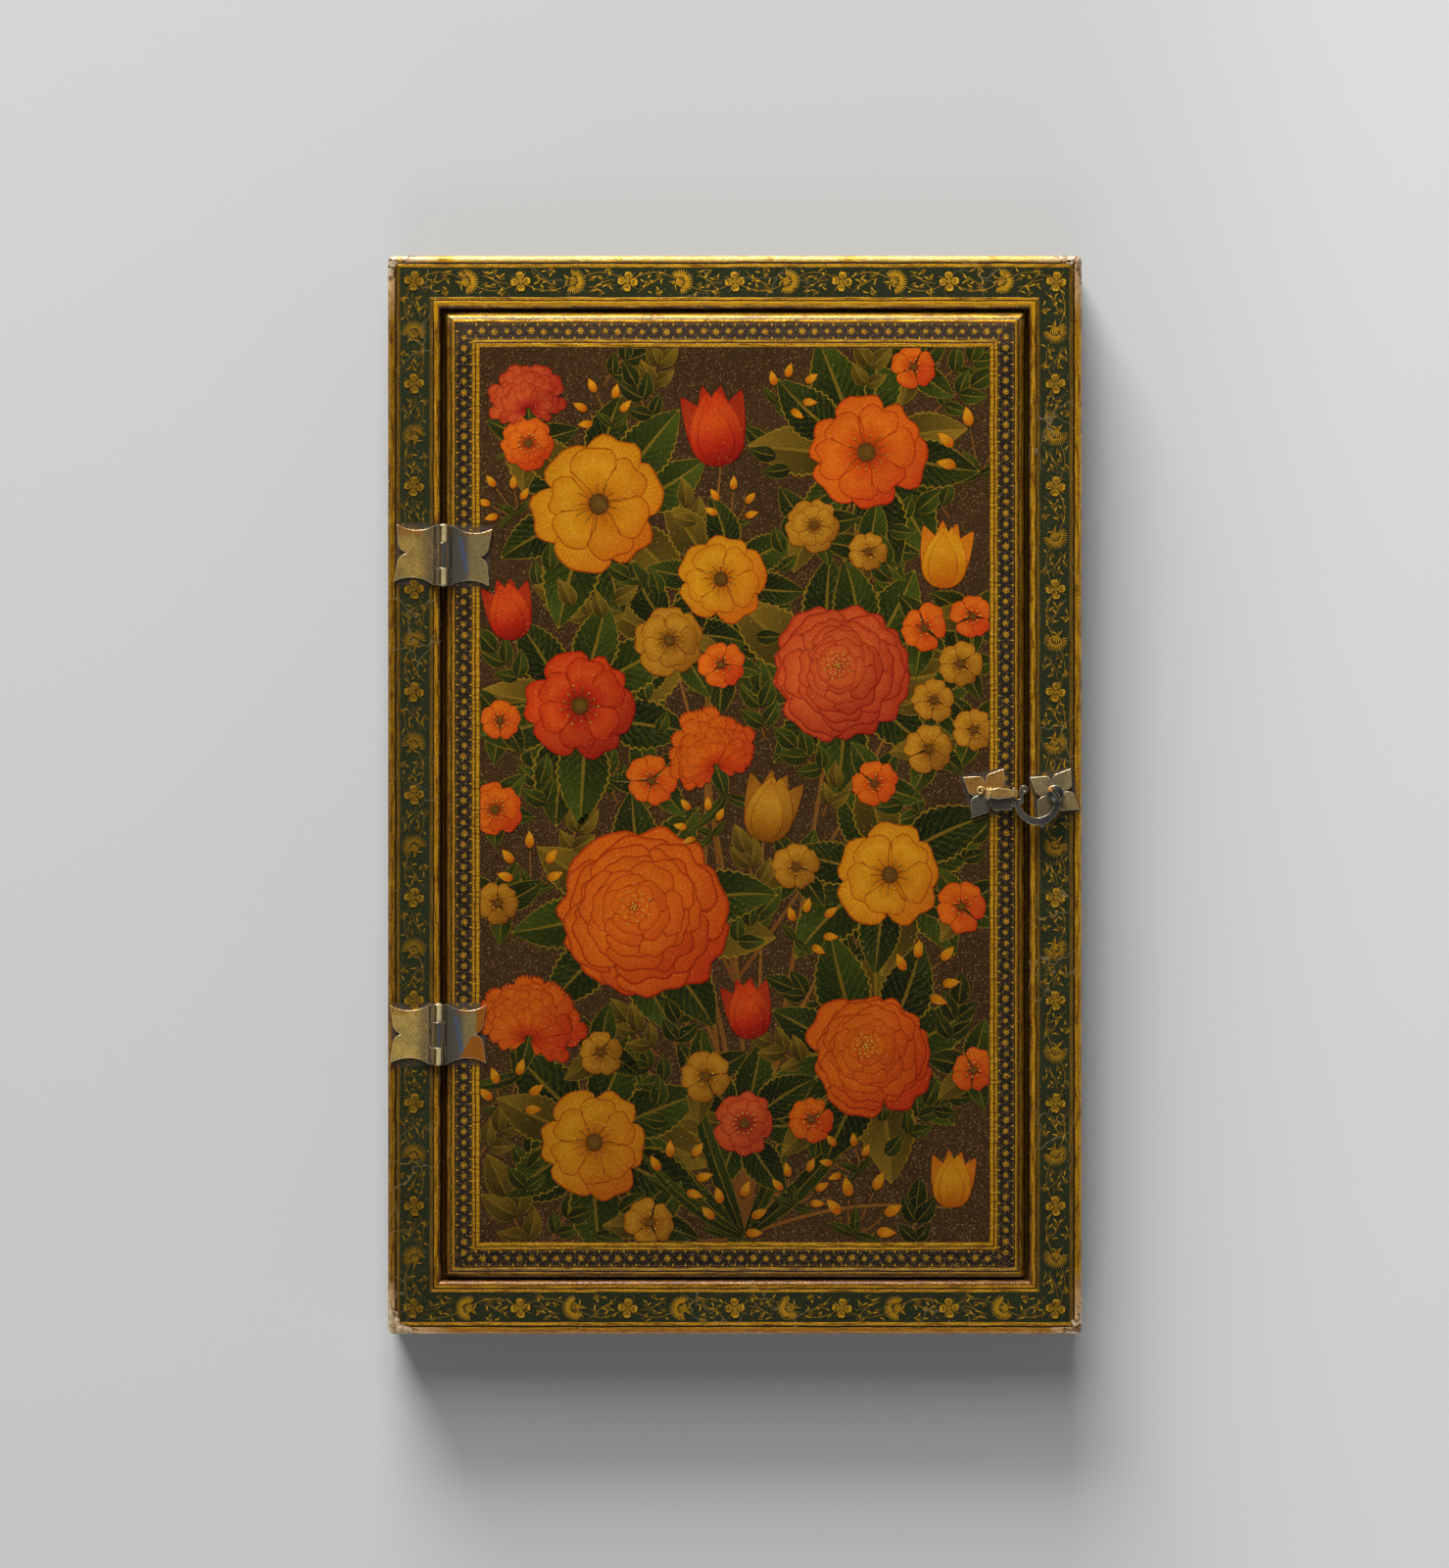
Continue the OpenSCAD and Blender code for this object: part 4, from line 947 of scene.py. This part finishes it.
def body_colour(name, count, slant, stroke, strength, outline, own_shade=False, rib=None):
    """Varnished paint for one kind of sheet: the count and slant of its strokes, their colour and strength,
    and its outline, which may be a darker shade of the paint that it bounds. A rib parts its halves."""
    made, tree, shader = material(name, Specular_IOR_Level=0.3, Coat_Weight=0.2, Coat_Roughness=0.1)
    tint = node(tree, "Attribute", "Color", attribute_name="tint")
    drawn, bound, ribbed, half, stipple = call(tree, strokes, Count=count, Slant=slant)
    tone, cracks, rough = call(tree, age, Crack=0.4)
    colour = mix(drawn * strength, tint, stroke)
    if rib:
        colour = mix(half * 0.4, colour, srgb(14, 22, 8))
        colour = mix(ribbed * 0.65, colour, rib)
    edge = mix(1, tint, outline, "MULTIPLY") if own_shade else outline
    colour = mix(bound * 0.85, colour, edge)
    colour = toned(colour, tone * stipple, (1, 0.9, 0.72))
    colour = mix(call(tree, dust, Density=0.12)[0] * 0.18, colour, srgb(236, 196, 120))
    feed(shader, Base_Color=colour, Roughness=rough)
    return made


petal_paint = body_colour("petal_paint", 9, 0, srgb(176, 48, 8), 0.2, (0.5, 0.22, 0.2, 1), own_shade=True)
leaf_paint = body_colour("leaf_paint", 3, -9, srgb(96, 98, 22), 0.3, srgb(168, 134, 34),
                         rib=srgb(150, 120, 34))
lay("panel_stems", stems, FACE + 0.005, "door", brush_gold)
lay("panel_leaves", leaves, FACE + 0.04, "door", leaf_paint)
lay("panel_blooms", blooms, FACE + 0.08, "door", petal_paint)
lay("panel_stamens", stamens, FACE + 0.16, "door", brush_gold)


# Hinges and latch: sheet brass cut to scallops and petals, rolled or bent round iron pins, and gone
# dull and brown in the hollows, with pale edges that are partly rubbed bright and partly painted highlight.
PIN_LINE, PIN_LEAN, HINGE_MIDDLE = 62.7, -0.0105, 51


def hinge_tones(colour, film, x, y, spot):
    """The hinge plates' colours, by how far a point is from the pin's leaning line and from the hinge's
    middle, the upper hinge a little darker: painted reflections make the door leaf grey, turning tan at its
    outer end, grey the frame leaf where it sweeps up to the barrel, lay a blue streak, and put amber on the
    tips and upper edges; a painted highlight runs along the barrel, and painted shade darkens the creases
    beside it and the seams between its knuckles."""
    side = y * PIN_LEAN + x + PIN_LINE
    off = abs(side)
    upper = y - y.calc("SIGN") * HINGE_MIDDLE
    lines = noise(stretched(spot, (3, 0.16, 1)), 5, 4).rise(0.38, 0.6)
    dimmer = mix(1, colour, (0.74, 0.72, 0.7, 1), "MULTIPLY")
    colour = mix(y.rise(-20, 20), colour, dimmer)
    # Painted reflection: the door leaf is grey, turning tan towards its outer end.
    door_leaf_reflection = mix(side.rise(4.4, 6.4), srgb(106, 101, 88), srgb(164, 142, 90))
    colour = mix(side.rise(0.3, 0.8), colour, door_leaf_reflection)
    # Painted reflection: the frame leaf greys where it sweeps up to the barrel.
    near = side.rise(-5.4, -2.6) * (lines * 0.5 + 0.5) * side.rise(0.8, 0.3)
    colour = mix(near, colour, srgb(116, 100, 76))
    # Painted reflection: a blue streak beside the barrel.
    blue = abs(upper * 0.2 + side - 4.4).rise(0.7, 0.2) * abs(upper).rise(4.4, 3)
    colour = mix(blue * 0.7, colour, srgb(92, 112, 150))
    # Painted reflection: amber on the tips, the lobe and the upper edges of the plates.
    tip = (film * 1.2 + side).rise(8.4, 8.9) * upper.rise(0.2, 0.6)
    lobe = (upper * -0.5 + side).rise(7.2, 7.5) * upper.rise(-0.2, -0.6)
    crest = (film * 2 + upper).rise(4.6, 6.2) * off.rise(3.4, 5)
    amber = (tip.most(lobe) * y.rise(20, 0)).most(crest * 0.6)
    colour = mix(amber, colour, srgb(184, 106, 18))
    # Painted highlight: a pale stripe along the outer knuckles and a grey reflection on the middle one.
    outer = mix(abs(upper).rise(2.55, 2.65), srgb(92, 96, 96), srgb(255, 232, 170))
    barrel = mix(lines, srgb(132, 104, 50), srgb(70, 50, 22))
    knuckle = mix(abs(side - 0.3).rise(0.6, 0.3), barrel, outer)
    colour = mix(off.rise(1.7, 1.4), colour, knuckle)
    # Painted shade in the creases beside the barrel and in the seams between its knuckles.
    barrel_crease_shade = off.rise(1.3, 1.5) * off.rise(2.1, 1.8)
    knuckle_seam_shade = abs(abs(upper) - 2.6).rise(0.24, 0.16) * off.rise(1.8, 1.6)
    return mix(barrel_crease_shade.most(knuckle_seam_shade) * 0.8, colour, srgb(46, 36, 24))


def pitting(spot):
    """The fine grain of pits in old metal."""
    return noise(spot, 2.2, 4)


def eased_edges(tree):
    """The normal of a surface whose edges are rounded by a third of a millimetre."""
    return node(tree, "Bevel", 0, {"Radius": 0.0003}, samples=8)


# Old metal: a cloudy film, pits where it tarnishes, and pale edges, partly rubbed and partly painted
# highlight, which is where the normal of a rounded edge leaves that of the flat facet.
metal_age, nothing, end = group("metal_age", [], ["Film", "Tarnished", "Rubbed"])
spot = place_mm(metal_age)[3]
pits = pitting(spot)
facet = node(metal_age, "NewGeometry", "True Normal")
flat = node(metal_age, "VectorMath", "Value", {0: eased_edges(metal_age), 1: facet}, operation="DOT_PRODUCT")
feed(end, Film=noise(spot, 0.22, 6, 0.6), Tarnished=pits.rise(0.52, 0.7) * 0.7,
     Rubbed=flat.rise(0.985, 0.9) * pits.rise(0.36, 0.5) * 0.75)


def old_brass(name, bright, dull, tarnish, metal=0.3, plates=False, lower=None, patch=None):
    """Brass under a film: bright where it is touched most, dull elsewhere, brown in the pits, and pale at its
    edges, partly rubbed and partly painted highlight. A lower colour, a painted reflection, takes over under
    the latch's middle line, and a patch is gilding that is left at a place, of a radius."""
    made, tree, shader = material(name, Coat_Weight=0.8, Coat_Roughness=0.12, Coat_IOR=1.7)
    x, y, z, spot = place_mm(tree)
    film, tarnished, rubbed = call(tree, metal_age)
    colour = mix(film.rise(0.38, 0.62), bright, dull)
    if plates:
        colour = hinge_tones(colour, film, x, y, spot)
    if lower:
        # Painted reflection: a blue-grey colour takes over on the lower half.
        colour = mix((film * 1.6 + y).rise(1.2, 0.5), colour, lower)
    if patch:
        at, radius, gold = patch
        off = node(tree, "VectorMath", "Value", {0: spot, 1: at}, operation="DISTANCE")
        colour = mix(off.rise(radius, 0.8 * radius), colour, gold)
    colour = mix(tarnished, colour, tarnish)
    # Pale edges: rubbed brass, and partly a painted highlight.
    colour = mix(rubbed, colour, srgb(234, 210, 164))
    relief = {"Height": pitting(spot) * 0.02, "Strength": 1, "Distance": 0.001, "Normal": eased_edges(tree)}
    pitted = node(tree, "Bump", 0, relief)
    feed(shader, Base_Color=colour, Metallic=film * 0.3 + metal, Roughness=film * 0.3 + 0.16,
         Normal=pitted, Coat_Normal=pitted)
    return made


hinge_brass = old_brass("hinge_brass", srgb(236, 196, 100), srgb(200, 168, 92), srgb(92, 66, 30), plates=True)
latch_brass = old_brass("latch_brass", srgb(170, 148, 100), srgb(138, 124, 90), srgb(80, 60, 32))
catch_brass = old_brass("catch_brass", srgb(186, 134, 62), srgb(156, 110, 48), srgb(96, 64, 28),
                        lower=srgb(106, 102, 88))
strip_brass = old_brass("strip_brass", srgb(216, 172, 90), srgb(176, 138, 76), srgb(104, 76, 40))
hook_iron = old_brass("hook_iron", srgb(112, 110, 100), srgb(84, 86, 88), srgb(56, 48, 38), 0.5)
pivot_iron = old_brass("pivot_iron", srgb(84, 86, 84), srgb(60, 62, 64), srgb(36, 30, 24), 0.5,
                       patch=((66.9, 1.5, 21.6), 0.9, srgb(232, 150, 36)))
dress(hinge_brass, "upper_hinge_frame_leaf", "upper_hinge_door_leaf", "upper_hinge_pin",
      "lower_hinge_frame_leaf", "lower_hinge_door_leaf", "lower_hinge_pin")
dress(latch_brass, "hook_rosette")
dress(catch_brass, "catch_rosette")
dress(strip_brass, "catch_staple")
dress(hook_iron, "hook")
dress(pivot_iron, "hook_pivot")


# Crimps at the catch's root: two turns of brass wire bound over the strip, and a loose end curled beside it.
# They are pressed on by hand, and go with the door.
def wire(path, radius, across, sides=8):
    """A round wire along a path, pointed at both ends: rings about each point, square to the run, whose first
    spoke is the run crossed with a direction that the path never takes."""
    run = np.gradient(path, axis=0)
    run = run / np.linalg.norm(run, axis=1, keepdims=True)
    spoke = np.cross(run, across)
    spoke = spoke / np.linalg.norm(spoke, axis=1, keepdims=True)
    other = np.cross(spoke, run)
    a = np.linspace(0, 2 * np.pi, sides + 1)[None, :, None]
    thick = radius * np.clip(8 * np.sin(np.pi * np.linspace(0, 1, len(path))), 0.02, 1)[:, None, None]
    ring = path[:, None, :] + thick * (np.cos(a) * spoke[:, None, :] + np.sin(a) * other[:, None, :])
    return ring.reshape(-1, 3), grid(len(path) - 1, sides)


CATCH = np.array([53.85, 0.3, 0])
strip_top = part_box("catch_staple")[1][2] * 1000
plate_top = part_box("catch_rosette")[1][2] * 1000
t = np.linspace(-1, 1, 33)
bound = []
for x0, lean, reach in ((0.35, 0.3, 1.5), (-0.2, 0.1, 1.3)):
    climb = np.clip((1.25 - np.abs(t * reach)) / 0.4, 0, 1)
    rise = plate_top - 0.1 + (strip_top + 0.02 - plate_top + 0.1) * climb ** 0.5
    bound.append(wire(CATCH + np.column_stack([x0 + lean * t, reach * t, rise]), 0.27, (1, 0, 0)))
a = np.linspace(0, 2.4 * np.pi, 33)
r = 0.95 - 0.7 * np.linspace(0, 1, 33)
loose = CATCH + np.column_stack([-1.5 + r * np.cos(a), 0.5 + r * np.sin(a), 0 * a + plate_top + 0.2])
bound.append(wire(loose, 0.24, (0, 0, 1)))
starts = np.cumsum([0] + [len(points) for points, quads in bound])
crimp_brass = old_brass("crimp_brass", srgb(236, 200, 110), srgb(206, 160, 80), srgb(116, 84, 40))
crimps = solid_of("catch_crimps", np.concatenate([points for points, quads in bound]),
                  np.concatenate([quads + k for (points, quads), k in zip(bound, starts)]), crimp_brass)
crimps.data.polygons.foreach_set("use_smooth", [True] * len(crimps.data.polygons))
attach(crimps, "door")


# Studio: the case lies on a pale sheet under one large soft light beyond its top edge, a little to the
# left, seen from straight above through a long lens.
floor_paint, tree, shader = material("pale_floor", Roughness=0.85)
x, y, z, spot = place_mm(tree)
pale = mix(noise(spot, 0.004), srgb(212, 215, 214), srgb(217, 220, 219))
# Painted light: the floor is painted lighter towards the right.
feed(shader, Base_Color=mix(x.rise(66, 150), pale, srgb(228, 231, 230)))
u, v = np.meshgrid(np.linspace(-4000, 4000, 9), np.linspace(-4000, 4000, 9), indexing="ij")
floor = solid_of("floor", np.stack([u, v, 0 * u - 0.05], axis=-1).reshape(-1, 3), grid(8, 8), floor_paint)


def softbox(name, at, size, watts, colour, mirrored=True):
    """A large soft lamp that faces the case, and shows in gloss or doesn't."""
    lamp = bpy.data.lights.new(name, "AREA")
    lamp.shape, lamp.size, lamp.size_y = "RECTANGLE", size[0], size[1]
    lamp.energy, lamp.color = watts, colour
    holder = bpy.data.objects.new(name, lamp)
    holder.location = at
    holder.visible_glossy = mirrored
    holder.rotation_euler = (np.arctan2(np.hypot(at[0], at[1]), at[2]), 0, np.arctan2(at[0], -at[1]))
    bpy.context.scene.collection.objects.link(holder)


softbox("low_light", (-0.64, 2.79, 1.10), (1.7, 1.1), 122, (1, 0.99, 0.97))
softbox("high_light", (-0.30, 2.18, 2.30), (1.6, 1.7), 37, (1, 0.99, 0.98), mirrored=False)
softbox("front_light", (-0.25, -1.40, 1.60), (0.9, 0.7), 3.5, (0.98, 0.99, 1))
softbox("sill_light", (0.1, -2.20, 0.40), (1.6, 0.3), 5, (1, 1, 1))

world = bpy.data.worlds.new("studio")
world.use_nodes = True
up = parts(node(world.node_tree, "TexCoord", "Generated"))[2]
sky = mix(up.rise(0.1, 0.55), srgb(186, 189, 188), srgb(66, 68, 72))
feed(world.node_tree.nodes["Background"], Color=sky)
bpy.context.scene.world = world

LENS_HEIGHT = 1.1
PHOTO_ROWS, PIXEL_SIZE, SENSOR_MM = 1600, 0.0002088, 36
camera = bpy.data.cameras.new("camera")
camera.lens = SENSOR_MM * LENS_HEIGHT / (PHOTO_ROWS * PIXEL_SIZE)
holder = bpy.data.objects.new("camera", camera)
holder.location = (-0.0022, 0.0023, FACE / 1000 + LENS_HEIGHT)
bpy.context.scene.collection.objects.link(holder)
bpy.context.scene.camera = holder
bpy.context.scene.view_settings.view_transform = "Standard"
